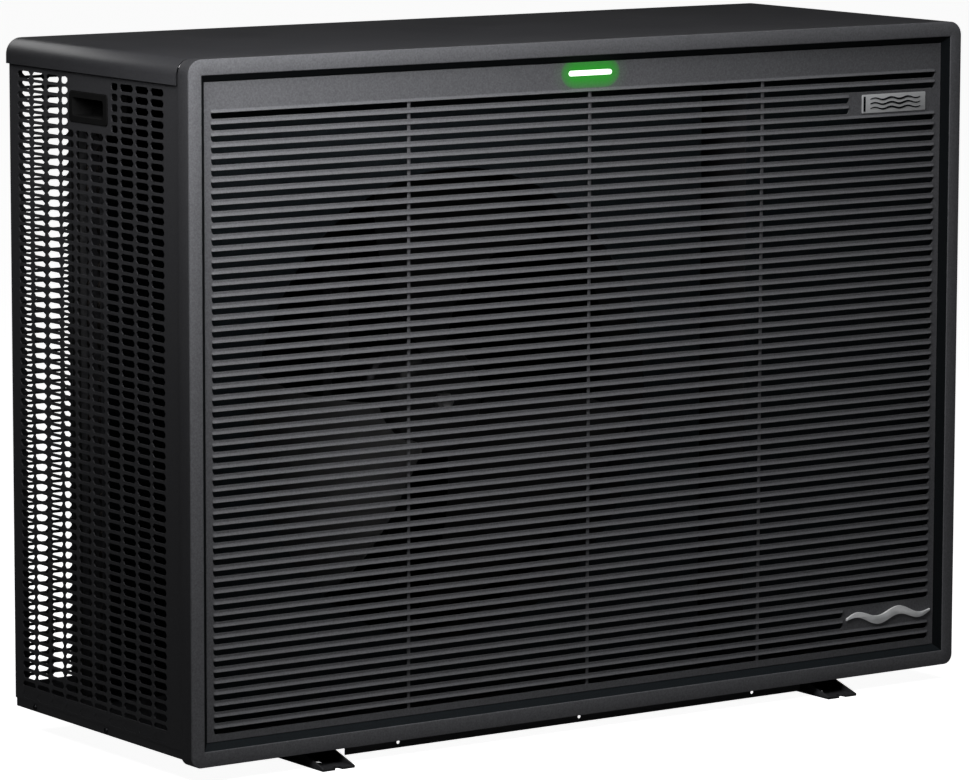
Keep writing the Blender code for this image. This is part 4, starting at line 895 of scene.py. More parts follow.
# %% Stack the rows with Geometry Nodes
def make_louvre_panel():
    """The whole panel as one mesh."""
    tree = Growth("stacked_louvre_rows", **{
        "Rows": ROWS, "Pitch": ROW_PITCH, "First Row": FIRST_ROW, "Long Row": LONG_ROW,
        "Short Row": SHORT_ROW, "Bands": BANDS, "Short From End": 2.5, "Place": tuple(CORNER),
        "Finish": COAT_PAINTED_GLOW})
    points = tree.node("GeometryNodeMeshLine", None, {
        "Count": tree.given("Rows"), "Start Location": tree.vector(z=tree.given("First Row")),
        "Offset": tree.vector(z=tree.given("Pitch"))})
    index = tree.node("GeometryNodeInputIndex")
    from_end = index.math("MINIMUM", tree.given("Rows") - 1 - index)
    short = (from_end - tree.given("Short From End")).math("ABSOLUTE").math("LESS_THAN", 1.0)
    long_rows = tree.copies(points, tree.object_mesh("Long Row"), selection=1 - short)
    short_rows = tree.copies(points, tree.object_mesh("Short Row"), selection=short)
    rows = tree.node("GeometryNodeRealizeInstances", None, {0: tree.join(long_rows, short_rows)})
    sheet = tree.join(rows, tree.object_mesh("Bands"))
    whole = tree.node("GeometryNodeMergeByDistance", None, {"Geometry": sheet, "Distance": 0.01 * MM})
    return hold_mesh("louvres", tree.grow(tree.placed(whole, tree.given("Place"))), COAT_PAINTED_GLOW, smooth=34)


LOUVRES = make_louvre_panel()
discard(LONG_ROW, SHORT_ROW, BANDS)
declare(LOUVRES, "paint_front", "louvre_panel")

# %% [markdown]
# ## Ribs behind the louvres
# Slats a metre long would rattle, so three folded ribs stand behind them and show as short bars in
# every slot. They are painted with the panel. Each is a plain strip with broken edges, set just
# behind the metal.

# %% Ribs
RIB_GAP, RIB_DEPTH, RIB_ROUND = 0.15 * MM, 1.7 * MM, 0.4 * MM


def make_rib(name):
    """One upright rib close behind the slats."""
    low, high = span(f"grille_rib_{name}")
    front, back = PANEL_FACE + RIB_GAP, PANEL_FACE + RIB_DEPTH
    outline = rounded_box_outline((low.x, front), (high.x, back), (RIB_ROUND,) * 4, 3)
    return make_piece(f"rib_{name}", slab(outline, "z", low.z, high.z, 0.3 * MM), COAT_FRONT)


for side in ("left", "centre", "right"):
    declare(make_rib(side), "paint_dark", f"grille_rib_{side}")

# %% [markdown]
# ## The status light
# A bar of clear green plastic fills the window in the upper band, standing a little proud with a
# rounded front, and a small board with the diodes sits behind it. The rounded front is the bar's
# outline carried forward in steps, the last two of them a little smaller.

# %% Lens and its board
def make_lens():
    """Domed bar with round ends."""
    low, high = span("status_light_lens")
    half = (high.z - low.z) / 2
    outline = rounded_box_outline((low.x, low.z), (high.x, high.z), (half - 0.01 * MM,) * 4, 8)
    steps = [(0, high.y), (0, low.y + 0.5 * MM), (0.35 * MM, low.y + 0.15 * MM), (1.1 * MM, low.y)]
    return make_piece("status_lens", stepped(outline, "y", steps), LENS, smooth=60)


declare(make_lens(), "light_green", "status_light_lens")
BOARD_BEHIND = softened("status_light_board", "diode_board", BOARD, width=0.15 * MM)
declare(BOARD_BEHIND, "board_green", "status_light_board")

# %% [markdown]
# ## The two plates
# The upper plate is a strip of brushed aluminium and the lower one a chromed ornament, both stuck to
# the flat metal beside the short rows. Both are kept free of any mark: the upper plate carries three
# plain raised ripples beside a dark inlay, and the lower one is a ripple itself. A ripple is a sine
# curve with a width, so one function draws them all.

# %% Ripples, badge and emblem
def ripple(low, high, waves, thick, rise, steps=60, point=0.9 * MM):
    """The outline of a wave between two corners, thickest in its middle."""
    length, centre = high[0] - low[0], (high[1] + low[1]) / 2
    upper, lower = [], []
    for step in range(steps + 1):
        share = step / steps
        line = centre + rise * math.sin(2 * math.pi * waves * share)
        half = point + thick * math.sin(math.pi * share) ** 0.8
        upper.append((low[0] + share * length, line + half))
        lower.append((low[0] + share * length, line - half))
    return lower + upper[::-1]


def raised(shape, outline, start, end, soft, material=0):
    """An outline raised towards the front with a rounded rim."""
    ward = 1 if end > start else -1
    steps = [(0, start), (0, end - ward * soft), (soft * 0.3, end - ward * soft * 0.3), (soft, end)]
    stepped(outline, "y", steps, shape, material)


def make_badge():
    """Brushed plate with a dark inlay at its left end and three plain ripples."""
    low, high = span("badge_plate")
    shape = bmesh.new()
    plate = rounded_box_outline((low.x, low.z), (high.x, high.z), (1.2 * MM,) * 4, 5)
    face = low.y + 0.5 * MM
    raised(shape, plate, high.y, face, 0.3 * MM)
    margin, inlay_end = 2 * MM, 5 * MM
    corners = (low.x + margin, low.z + margin), (low.x + inlay_end, high.z - margin)
    inlay = rounded_box_outline(*corners, (0.6 * MM,) * 4, 3)
    raised(shape, inlay, face + 0.05 * MM, face - 0.2 * MM, 0.1 * MM, 1)
    for row in range(3):
        base = low.z + (5.2 + 5.3 * row) * MM
        start, end = (low.x + 12 * MM, base - MM), (high.x - 8 * MM, base + MM)
        wave = ripple(start, end, 3, 0.6 * MM, 1.1 * MM, 60, 0.5 * MM)
        raised(shape, wave, face + 0.05 * MM, low.y, 0.1 * MM, 1)
    return make_piece("badge", shape, BRUSHED, COAT_SHADE_AND_INLAY, smooth=45)


def make_emblem():
    """Chromed ripple."""
    low, high = span("wave_emblem")
    centre, rise, thick = (low.z + high.z) / 2, 4.18 * MM, 3.99 * MM
    shape = bmesh.new()
    outline = ripple((low.x, centre - MM), (high.x, centre + MM), 2, thick, rise, 96, 1.1 * MM)
    raised(shape, outline, high.y, low.y, 0.35 * MM)
    return make_piece("chrome_ripple", shape, CHROME, smooth=55)


declare(make_badge(), "brushed_aluminium", "badge_plate")
declare(make_emblem(), "chrome", "wave_emblem")

# %% [markdown]
# ## The top cover
# The cover is a pressed lid: a flat top, two broad rounded shoulders, skirts down both sides and a
# closed back. It is one outline drawn across the case and carried from front to back. The back edge
# turns down over a small radius, which the last few stations make by shrinking the outline. Solidify
# then gives the skin its sheet thickness.

# %% Top cover
SHOULDER = 18 * MM


def cover_line(low, high, inset):
    """The open outline of the cover, from the foot of the right skirt over the top to the left one."""
    left, right, top = low.x + inset, high.x - inset, high.z - inset
    radius = SHOULDER - inset
    points = [(right, low.z)]
    points += arc((right - radius, top - radius), radius, 0, 90, 12)
    points += arc((left + radius, top - radius), radius, 90, 180, 12)
    return points + [(left, low.z)]


def make_cover():
    """Lid with rounded shoulders, a turned-down back and an open front."""
    low, high = span("top_cover")
    turn = 5 * MM
    stations = [(0.15 * MM, low.y), (0, low.y + 0.25 * MM), (0, high.y - turn)]
    for step in range(1, 7):
        angle = math.radians(15 * step)
        stations.append((turn * (1 - math.cos(angle)), high.y - turn + turn * math.sin(angle)))
    shape = bmesh.new()
    loops = [[shape.verts.new((x, y, z)) for x, z in cover_line(low, high, inset)] for inset, y in stations]
    for first, second in zip(loops, loops[1:]):
        bridge(shape, first, second, closed=False)
    shape.faces.new(loops[-1])
    bmesh.ops.recalc_face_normals(shape, faces=shape.faces)
    top_face = max(shape.faces, key=lambda face: face.calc_center_median().z)
    if top_face.normal.z < 0:
        bmesh.ops.reverse_faces(shape, faces=shape.faces)
    cover = make_piece("lid", shape, COAT_TOP, recalculate=False)
    skin = cover.modifiers.new("sheet", "SOLIDIFY")
    skin.thickness = SHEET
    skin.offset = -1
    mesh = baked(cover).data
    discard(cover)
    return hold_mesh("lid_skin", mesh, COAT_TOP, smooth=40)


declare(make_cover(), "paint_top", "top_cover")

# %% [markdown]
# ## Perforated sheet
# The left side and the back are sheets punched with hundreds of equal slots, which is what a turret
# press does. A tree does it in the same order: a grid of points, one slot outline on each, and the
# whole filled as one flat sheet with holes. Points inside the blank field are deleted first. Extruding
# the filled sheet and joining the original, flipped over, gives both faces and every slot's wall.

# %% A tree that punches a sheet
SLOT_LENGTH, SLOT_HEIGHT = 27.2 * MM, 7.95 * MM
SLOT_CORNER = 3.1 * MM
COLUMN_PITCH, PUNCH_PITCH = 30.5 * MM, 11.19 * MM
TOP_PUNCH = 705.1 * MM
PUNCH_ROWS = 62


def punched_sheet(name, size, first, columns, turn, place, finish, blank=None, extra=None):
    """A sheet from its lower left corner, with a grid of slots from its top left one."""
    blank = blank or (0.0, 0.0, 10.0)
    extra = extra or bpy.data.objects.new("no_extra_holes", bpy.data.curves.new("no_extra_holes", "CURVE"))
    tree = Growth(name, **{
        "Width": size[0], "Height": size[1], "Columns": columns, "Rows": PUNCH_ROWS,
        "Column Pitch": COLUMN_PITCH, "Row Pitch": PUNCH_PITCH, "First Slot": (*first, 0.0),
        "Slot Length": SLOT_LENGTH, "Slot Height": SLOT_HEIGHT, "Corner": SLOT_CORNER, "Thickness": SHEET,
        "Blank Left": blank[0], "Blank Right": blank[1], "Blank Bottom": blank[2],
        "Extra Holes": extra, "Turn": turn, "Place": place, "Finish": finish})
    given = tree.given
    reach = tree.vector((given("Columns") - 1) * given("Column Pitch") / 2,
                        (given("Rows") - 1) * given("Row Pitch") / -2)
    grid = tree.node("GeometryNodeMeshGrid", None, {
        "Size X": (given("Columns") - 1) * given("Column Pitch"),
        "Size Y": (given("Rows") - 1) * given("Row Pitch"),
        "Vertices X": given("Columns"), "Vertices Y": given("Rows")})
    start = tree.node("ShaderNodeVectorMath", {"operation": "ADD"}, {0: reach, 1: given("First Slot")})
    points = tree.placed(grid, start)
    where = tree.node("GeometryNodeInputPosition")
    across = tree.node("ShaderNodeSeparateXYZ", None, {0: where}, 0)
    up = tree.node("ShaderNodeSeparateXYZ", None, {0: where}, 1)
    right_of = (across - given("Blank Left")).math("GREATER_THAN", 0.0)
    left_of = (given("Blank Right") - across).math("GREATER_THAN", 0.0)
    above = (up - given("Blank Bottom")).math("GREATER_THAN", 0.0)
    kept = tree.node("GeometryNodeDeleteGeometry", None, {
        "Geometry": points, "Selection": right_of * left_of * above})
    slot = tree.node("GeometryNodeCurvePrimitiveQuadrilateral", {"mode": "RECTANGLE"},
                     {"Width": given("Slot Length"), "Height": given("Slot Height")})
    slot = tree.node("GeometryNodeFilletCurve", None, {
        "Curve": slot, "Radius": given("Corner"), "Limit Radius": True})
    slots = tree.node("GeometryNodeRealizeInstances", None, {0: tree.copies(kept, slot)})
    edge = tree.node("GeometryNodeCurvePrimitiveQuadrilateral", {"mode": "RECTANGLE"},
                     {"Width": given("Width"), "Height": given("Height")})
    edge = tree.placed(edge, tree.vector(given("Width") / 2, given("Height") / 2))
    outlines = tree.join(edge, slots, tree.object_mesh("Extra Holes"))
    flat = tree.node("GeometryNodeFillCurve", None, {0: outlines})
    raised_face = tree.node("GeometryNodeExtrudeMesh", None, {
        "Mesh": flat, "Offset Scale": given("Thickness"), "Individual": False})
    under = tree.node("GeometryNodeFlipFaces", None, {0: flat})
    closed = tree.node("GeometryNodeMergeByDistance", None, {
        "Geometry": tree.join(raised_face, under), "Distance": 0.01 * MM})
    mesh = tree.grow(tree.placed(closed, given("Place"), given("Turn")))
    discard(extra)
    return mesh


def flat_holes(name, outlines):
    """Closed outlines as one curve object, for the sheet's extra holes."""
    curve = bpy.data.curves.new(name, "CURVE")
    curve.dimensions = "2D"
    for outline in outlines:
        spline = curve.splines.new("POLY")
        spline.points.add(len(outline) - 1)
        spline.use_cyclic_u = True
        for point, (x, y) in zip(spline.points, outline):
            point.co = (x, y, 0, 1)
    holes = bpy.data.objects.new(name, curve)
    bpy.context.scene.collection.objects.link(holes)
    return holes


print(PUNCH_ROWS, "rows of", round(SLOT_LENGTH / MM, 1), "by", round(SLOT_HEIGHT / MM, 2), "mm slots")

# %% [markdown]
# ## Left side
# The left side breathes: ten columns of slots from just behind the front edge to the back. Round the
# handle cup the sheet is left blank, and beside that field one column keeps a shortened slot on each
# side. Those ten short slots and the cup's window are passed to the same tree as extra outlines. The
# sheet's own x runs from front to back, so it is turned to stand across the case and face left.

# %% Left side panel
SIDE_COLUMNS, REAR_MARGIN = 10, 17 * MM
SHORT_SLOTS = ((151.4 * MM, 13.4 * MM), (254.9 * MM, 14.2 * MM))
SHORT_SLOT_ROWS = 5
BLANK_FRONT, BLANK_BACK = 130 * MM, 275 * MM


def slot_outline(centre, length):
    """A slot with rounded corners."""
    half = Vector((length / 2, SLOT_HEIGHT / 2))
    centre = Vector(centre)
    return rounded_box_outline(centre - half, centre + half, (SLOT_CORNER,) * 4, 4)


def make_left_side():
    """Punched sheet with a blank field round the handle cup."""
    low, high = span("left_side_panel")
    cup_low, cup_high = span("left_handle_cup")
    rear_column = high.y - REAR_MARGIN - SLOT_LENGTH / 2
    first = (rear_column - (SIDE_COLUMNS - 1) * COLUMN_PITCH - low.y, TOP_PUNCH - low.z)
    heights = [TOP_PUNCH - row * PUNCH_PITCH - low.z for row in range(SHORT_SLOT_ROWS)]
    short = [((y - low.y, height), length) for y, length in SHORT_SLOTS for height in heights]
    gap = 0.4 * MM
    window = rounded_box_outline((cup_low.y - low.y - gap, cup_low.z - low.z - gap),
                                 (cup_high.y - low.y + gap, cup_high.z - low.z + gap), (4 * MM,) * 4, 5)
    extra = flat_holes("cup_window_and_short_slots", [window] + [slot_outline(*one) for one in short])
    blank = (BLANK_FRONT - low.y, BLANK_BACK - low.y, heights[-1] - PUNCH_PITCH / 2)
    place = tuple(CORNER + Vector((high.x, low.y, low.z)))
    quarter = math.pi / 2
    mesh = punched_sheet("left_side_sheet", (high.y - low.y, high.z - low.z), first, SIDE_COLUMNS,
                         (quarter, 0.0, quarter), place, COAT_DARK, blank, extra)
    return hold_mesh("left_side", mesh, COAT_DARK, smooth=40)


declare(make_left_side(), "paint_side", "left_side_panel")

# %% [markdown]
# ## Back
# The back sheet carries the same slots in front of the coil and is plain behind the compressor bay.
# One tree makes both sheets because only its inputs differ: here there are more columns, no blank
# field and no extra holes, and the sheet stands along the case instead of across it.

# %% Rear panel
def make_back():
    """Punched over the coil, plain over the compressor bay."""
    low, high = span("rear_panel")
    bulkhead = span("bulkhead")[0].x
    columns = int((bulkhead - REAR_MARGIN) / COLUMN_PITCH)
    first = (REAR_MARGIN + SLOT_LENGTH / 2 - low.x, TOP_PUNCH - low.z)
    place = tuple(CORNER + Vector((low.x, high.y, low.z)))
    mesh = punched_sheet("rear_sheet", (high.x - low.x, high.z - low.z), first, columns,
                         (math.pi / 2, 0.0, 0.0), place, COAT_DARK)
    return hold_mesh("back_sheet", mesh, COAT_DARK, smooth=40)


declare(make_back(), "paint_side", "rear_panel")

# %% [markdown]
# ## Sheet metal that only needs its edges broken
# The closed right side, the base pan, the skirt, the feet and the inner sheets already have their true
# shape. What they lack is the small edge radius that punched and folded metal always has. Copying the
# measured mesh, merging its doubles and chamfering every sharp edge adds it without moving a face. A
# strip of foam then closes the gap between the coil's left plate and the back, as air would otherwise
# go round the coil.

# %% Softened sheet metal
SHEET_METAL = (
    ("right_side_panel", "right_side", COAT_DARK, "paint_side", 0.25),
    ("front_skirt", "skirt_strip", COAT_DARK, "paint_side", 0.3),
    ("left_foot", "foot_left", COAT_DARK, "paint_side", 0.5),
    ("right_foot", "foot_right", COAT_DARK, "paint_side", 0.5),
    ("base_pan", "pan", COAT_DARK, "galvanised", 0.4),
    ("left_handle_cup", "cup_left", CUP_PAINTED_SHADE, "plastic_black", 0.6),
    ("right_handle_cup", "cup_right", CUP_PAINTED_SHADE, "plastic_black", 0.6),
    # The shroud plate and the bay sheet take the inner coat: painted shade of the case's inside, over the
    # shroud plate's own dark paint.
    ("fan_shroud_plate", "shroud_plate", COAT_INNER_SHADE, "paint_dark", 0.25),
    ("compressor_bay_sheet", "bay_sheet", COAT_INNER_SHADE, "galvanised", 0.25),
    ("bulkhead", "bay_wall", COAT_DARK, "galvanised", 0.25),
    ("motor_rail_left", "rail_left", COAT_DARK, "galvanised", 0.3),
    ("motor_rail_right", "rail_right", COAT_DARK, "galvanised", 0.3),
    # The coil's left plate takes the dark coat as painted shade; the right one stays galvanised.
    ("evaporator_left_plate", "coil_plate_left", COAT_DARK, "galvanised", 0.25),
    ("evaporator_right_plate", "coil_plate_right", GALVANISED, "galvanised", 0.25),
    ("electrical_box", "electrical_tray", GALVANISED, "galvanised", 0.3),
    ("electrical_box_lid", "electrical_lid", GALVANISED, "galvanised", 0.3),
)
for node, name, finish, slot, width in SHEET_METAL:
    declare(softened(node, name, finish, width=width * MM), slot, node)
print(len(SHEET_METAL), "softened pieces")


def make_seal(name, plate):
    """Foam strip that closes the gap between a coil plate and the back sheet."""
    low, high = span(plate)
    back = span("rear_panel")[0].y
    corners = (low.x - 6 * MM, high.y + 0.3 * MM), (low.x + 7 * MM, back - 0.1 * MM)
    outline = rounded_box_outline(*corners, (MM,) * 4, 3)
    return make_piece(name, slab(outline, "z", low.z + 2 * MM, high.z - 2 * MM, 0.4 * MM), RUBBER)


declare(make_seal("coil_seal_left", "evaporator_left_plate"), "rubber")

# %% [markdown]
# ## Screws
# The sheets are held by pan-head screws with a cross recess. One screw head is drawn with a few dozen
# faces, and a tree sets a copy on each spot it is given, so adding a screw means adding a spot. Each
# wall has its own call, because its screws share one direction.

# %% Screw heads
def screw_head(radius=3.6 * MM, rise=2.0 * MM):
    """A pan head with a cross pressed into it, facing up from the origin."""
    profile = [(radius, 0.0), (radius, rise * 0.35), (radius * 0.86, rise * 0.8), (radius * 0.55, rise),
               (0.0, rise)]
    head = make_piece("screw_pattern", turned(profile, "z", steps=16), STEEL, from_corner=False)
    arm, half = radius * 0.62, radius * 0.14
    cross = [(arm, -half), (arm, half), (half, half), (half, arm), (-half, arm), (-half, half),
             (-arm, half), (-arm, -half), (-half, -half), (-half, -arm), (half, -arm), (half, -half)]
    tool = make_piece("cross_cutter", slab(cross, "z", rise * 0.45, rise * 1.5), STEEL, from_corner=False)
    cap = bmesh.new()
    cap.from_mesh(head.data)
    rim = [edge for edge in cap.edges if edge.is_boundary]
    bmesh.ops.contextual_create(cap, geom=rim)
    bmesh.ops.recalc_face_normals(cap, faces=cap.faces)
    cap.to_mesh(head.data)
    cap.free()
    press = head.modifiers.new("cross", "BOOLEAN")
    press.object = tool
    baked(head)
    discard(tool)
    return head


def screws(name, spots, turn, finish):
    """Screw heads on spots counted from the case's corner, all facing one way."""
    marks = bpy.data.meshes.new("spots")
    marks.from_pydata([CORNER + Vector(spot) for spot in spots], [], [])
    holder = bpy.data.objects.new("spots", marks)
    bpy.context.scene.collection.objects.link(holder)
    head = screw_head()
    tree = Growth(name, Spots=holder, Head=head, Turn=turn, Finish=finish)
    heads = tree.copies(tree.object_mesh("Spots"), tree.object_mesh("Head"), rotation=tree.given("Turn"))
    mesh = tree.grow(heads)
    discard(holder, head)
    return hold_mesh(f"{name}_set", mesh, finish, smooth=35)


def wall_screws():
    """Every visible screw of the case, wall by wall."""
    pan_low, pan_high = span("base_pan")
    side_low, side_high = span("right_side_panel")
    rear_low, rear_high = span("rear_panel")
    line = (pan_low.z + side_low.z) / 2
    side_heights = (side_low.z + 12 * MM, (side_low.z + side_high.z) / 2, side_high.z - 30 * MM)
    left = [(pan_low.x, y, line) for y in (178 * MM, 329 * MM)]
    right = [(pan_high.x, y, line) for y in (60 * MM, 178 * MM, 329 * MM)]
    right += [(side_high.x, y, z) for y in (side_low.y + 9 * MM, side_high.y - 9 * MM) for z in side_heights]
    back = [(x, rear_high.y, z) for x in (rear_low.x + 7 * MM, WIDTH * 0.76, rear_high.x - 7 * MM)
            for z in (side_low.z + 8 * MM, HEIGHT * 0.5, side_high.z - 30 * MM)]
    quarter = math.pi / 2
    return (("left_screws", left, (0.0, -quarter, 0.0)), ("right_screws", right, (0.0, quarter, 0.0)),
            ("rear_screws", back, (-quarter, 0.0, 0.0)))


for name, spots, turn in wall_screws():
    declare(screws(name, spots, turn, STEEL_DARK), "steel_dark")

# %% [markdown]
# ## The coil
# The coil is several hundred thin aluminium fins pressed onto rows of copper tube. It is what
# shows through the side and the back as a dense, dark texture, so it is made as separate fins rather
# than as a block. Fins and tubes are near-black: painted shade of the case's inside. A fin is a bare
# box, because there are so many of them. The tubes run across through all the fins, and short bends
# join them in pairs at the left end.

# %% Fins and tubes
def make_fins():
    """Thin fins side by side along the coil."""
    low, high = span("evaporator_fins")
    count = int((high.x - low.x) / (2.1 * MM))
    tree = Growth("coil_fins", **{
        "Fins": count, "Fin Size": (0.14 * MM, high.y - low.y, high.z - low.z),
        "Pitch": (high.x - low.x) / count,
        "First Fin": tuple(CORNER + Vector((low.x + MM, (low.y + high.y) / 2, (low.z + high.z) / 2))),
        "Finish": FIN_PAINTED_SHADE})
    line = tree.node("GeometryNodeMeshLine", None, {
        "Count": tree.given("Fins"), "Start Location": tree.given("First Fin"),
        "Offset": tree.vector(x=tree.given("Pitch"))})
    fin = tree.node("GeometryNodeMeshCube", None, {"Size": tree.given("Fin Size")})
    return hold_mesh("fins_pack", tree.grow(tree.copies(line, fin)), FIN_PAINTED_SHADE)


def make_tubes():
    """Straight tubes through the fins, with a bend at the left end of each pair."""
    low, high = span("evaporator_fins")
    left, right = span("evaporator_left_plate"), span("evaporator_right_plate")
    pitch, start = 10.6 * MM, low.z + 16 * MM
    pairs = int((high.z - start - 20 * MM) / (2 * pitch))
    length = right[1].x - left[1].x - 6 * MM
    tree = Growth("coil_tubes", **{
        "Pairs": pairs, "Pitch": 2 * pitch, "Tube": 2.4 * MM, "Bend": pitch / 2, "Length": length,
        "Rows": (0.0, (high.y - low.y) / 2, 0.0), "Finish": TUBE_PAINTED_SHADE,
        "Start": tuple(CORNER + Vector((left[1].x - 0.3 * MM, low.y + (high.y - low.y) / 4, start)))})
    given = tree.given
    ring = tree.node("GeometryNodeCurvePrimitiveCircle", None, {"Resolution": 10, "Radius": given("Tube")})
    bend = tree.node("GeometryNodeCurveArc", None, {
        "Resolution": 9, "Radius": given("Bend"), "Start Angle": math.pi / 2, "Sweep Angle": math.pi})
    legs = [tree.node("GeometryNodeCurvePrimitiveLine", None, {
        0: tree.vector(0.0, given("Bend") * side), 1: tree.vector(given("Length"), given("Bend") * side)})
        for side in (1.0, -1.0)]
    pair = tree.node("GeometryNodeCurveToMesh", None, {0: tree.join(bend, *legs), 1: ring, "Fill Caps": True})
    pair = tree.placed(pair, (0.0, 0.0, 0.0), (math.pi / 2, 0.0, 0.0))
    column = tree.node("GeometryNodeMeshLine", None, {
        "Count": given("Pairs"), "Start Location": given("Start"), "Offset": tree.vector(z=given("Pitch"))})
    tubes = tree.copies(column, pair)
    both = tree.join(tubes, tree.placed(tubes, given("Rows")))
    return hold_mesh("coil_tubes_pack", tree.grow(both), TUBE_PAINTED_SHADE, smooth=50)


declare(make_fins(), "fins", "evaporator_fins")
declare(make_tubes(), "copper")

# %% [markdown]
# ## The fan
# A three-bladed propeller in glass-filled plastic. Each blade is a stack of curved sections, flatter
# and wider towards the tip, bridged into a thin twisted shell; the hub is turned, with its front edge
# well rounded. It rides on the fan's own body, so it spins with the shaft and the nut.

# %% Fan rotor
FAN_CENTRE = middle("fan_shaft")
RING_WALL, TIP_GAP = 3 * MM, 6.5 * MM
FAN_REACH = span("fan_ring")[1].x - FAN_CENTRE.x - RING_WALL - TIP_GAP
HUB = 60 * MM
BLADE_FRONT = span("fan_nut")[1].y + 0.3 * MM - 6 * MM


def blade_section(radius, covered, pitch, steps=16):
    """One curved section of a blade: a thin closed loop."""
    rise = math.radians(covered) * radius * math.tan(math.radians(pitch))
    front, back = [], []
    for step in range(steps + 1):
        share = step / steps
        angle = math.radians(covered) * (share - 0.5)
        depth = rise * share + 0.16 * rise * math.sin(math.pi * share)
        half = 1.4 * MM * (0.3 + 0.7 * math.sin(math.pi * min(share + 0.15, 1)))
        x, z = radius * math.sin(angle), radius * math.cos(angle)
        front.append(Vector((x, depth - half, z)))
        back.append(Vector((x, depth + half, z)))
    return front + back[::-1]


def add_blade(shape, turn, centre, steps=14):
    """One twisted blade from inside the hub to its tip."""
    loops = []
    for step in range(steps + 1):
        share = step / steps
        radius = HUB * 0.9 + (FAN_REACH - HUB * 0.9) * share
        section = blade_section(radius, 58 + 16 * share, 34 - 17 * share)
        spin = Matrix.Rotation(math.radians(turn + 16 * share * share), 4, "Y")
        loops.append([shape.verts.new(centre + spin @ spot) for spot in section])
    for first, second in zip(loops, loops[1:]):
        bridge(shape, first, second)
    shape.faces.new(loops[0])
    shape.faces.new(loops[-1][::-1])


def make_rotor():
    """Hub and three blades."""
    centre = Vector((FAN_CENTRE.x, BLADE_FRONT, FAN_CENTRE.z))
    start, end = 6 * MM, 56 * MM
    bore = 6.2 * MM
    hub = [(bore, start), (HUB * 0.70, start)]
    hub += [(HUB * 0.70 + HUB * 0.3 * math.sin(turn), start + 14 * MM * (1 - math.cos(turn)))
            for turn in (math.radians(15 * step) for step in range(1, 7))]
    hub += [(HUB, end - MM), (HUB - MM, end), (bore, end)]
    shape = turned(hub, "y", centre, 72, closed=True)
    for number in range(3):
        add_blade(shape, 120 * number, centre)
    return make_piece("propeller", shape, PLASTIC_BLACK, smooth=40)


declare(make_rotor(), "plastic_black", "fan_rotor", body="fan")

# %% [markdown]
# ## The air ring and the shaft
# The ring's flared mouth leads air to the tips of the blades. The shaft is ground steel, and the nut
# on its end holds the hub. Both turn with the fan.

# %% Air ring, shaft and nut
def make_fan_ring():
    """Round air ring with a flared mouth."""
    low, high = span("fan_ring")
    inner = FAN_REACH + TIP_GAP
    centre = ((low.x + high.x) / 2, low.y, (low.z + high.z) / 2)
    depth = high.y - low.y
    flare, edge = 7 * MM, 0.4 * MM
    mouth = [(inner + flare - flare * math.sin(turn), flare * (1 - math.cos(turn)) * 0.5)
             for turn in (math.radians(18 * step) for step in range(6))]
    ring = mouth + [(inner, depth), (inner + RING_WALL - edge, depth), (inner + RING_WALL, depth - edge),
                    (inner + RING_WALL, flare + edge / 2)]
    return make_piece("air_ring", turned(ring, "y", centre, 128, closed=True), PLASTIC_BLACK, smooth=50)


declare(make_fan_ring(), "plastic_grey", "fan_ring")


def make_shaft():
    """Ground shaft with a chamfered front end."""
    low, high = span("fan_shaft")
    radius = (high.x - low.x) / 2
    chamfer = 0.8 * MM
    profile = [(0, low.y), (radius - chamfer, low.y), (radius, low.y + chamfer), (radius, high.y),
               (0, high.y)]
    return make_piece("spindle", turned(profile, "y", (FAN_CENTRE.x, 0, FAN_CENTRE.z), 48), STEEL, smooth=50)


declare(make_shaft(), "steel", "fan_shaft", body="fan")
declare(softened("fan_nut", "spindle_nut", STEEL, width=0.8 * MM), "steel", "fan_nut", body="fan")

# %% [markdown]
# ## Turned pieces inside the case
# The motor, compressor, accumulator, valves and heat exchanger are all close to bodies of revolution.
# Each is turned again here from its measured box with the beads, shoulders and seams that a pressed
# and welded can has. A list of (radius share, height share) pairs per piece keeps that readable.

# %% Cans, valves and mounts
def lathe(node, name, finish, shares, axis="z", steps=64, smooth=38):
    """Turn a profile of shares of a node's radius and length inside its measured box."""
    low, high = span(node)
    index = "xyz".index(axis)
    radius = max((high[side] - low[side]) / 2 for side in range(3) if side != index)
    centre = (low + high) / 2
    centre[index] = low[index]
    length = high[index] - low[index]
    profile = [(radius * share, length * along) for share, along in shares]
    return make_piece(name, turned(profile, axis, centre, steps), finish, smooth=smooth)


def dome(start, end, radius_from, radius_to, steps=5):
    """Shares along a quarter of an ellipse."""
    turns = [math.pi / 2 * step / steps for step in range(1, steps + 1)]
    return [(radius_to + (radius_from - radius_to) * math.cos(turn), start + (end - start) * math.sin(turn))
            for turn in turns]


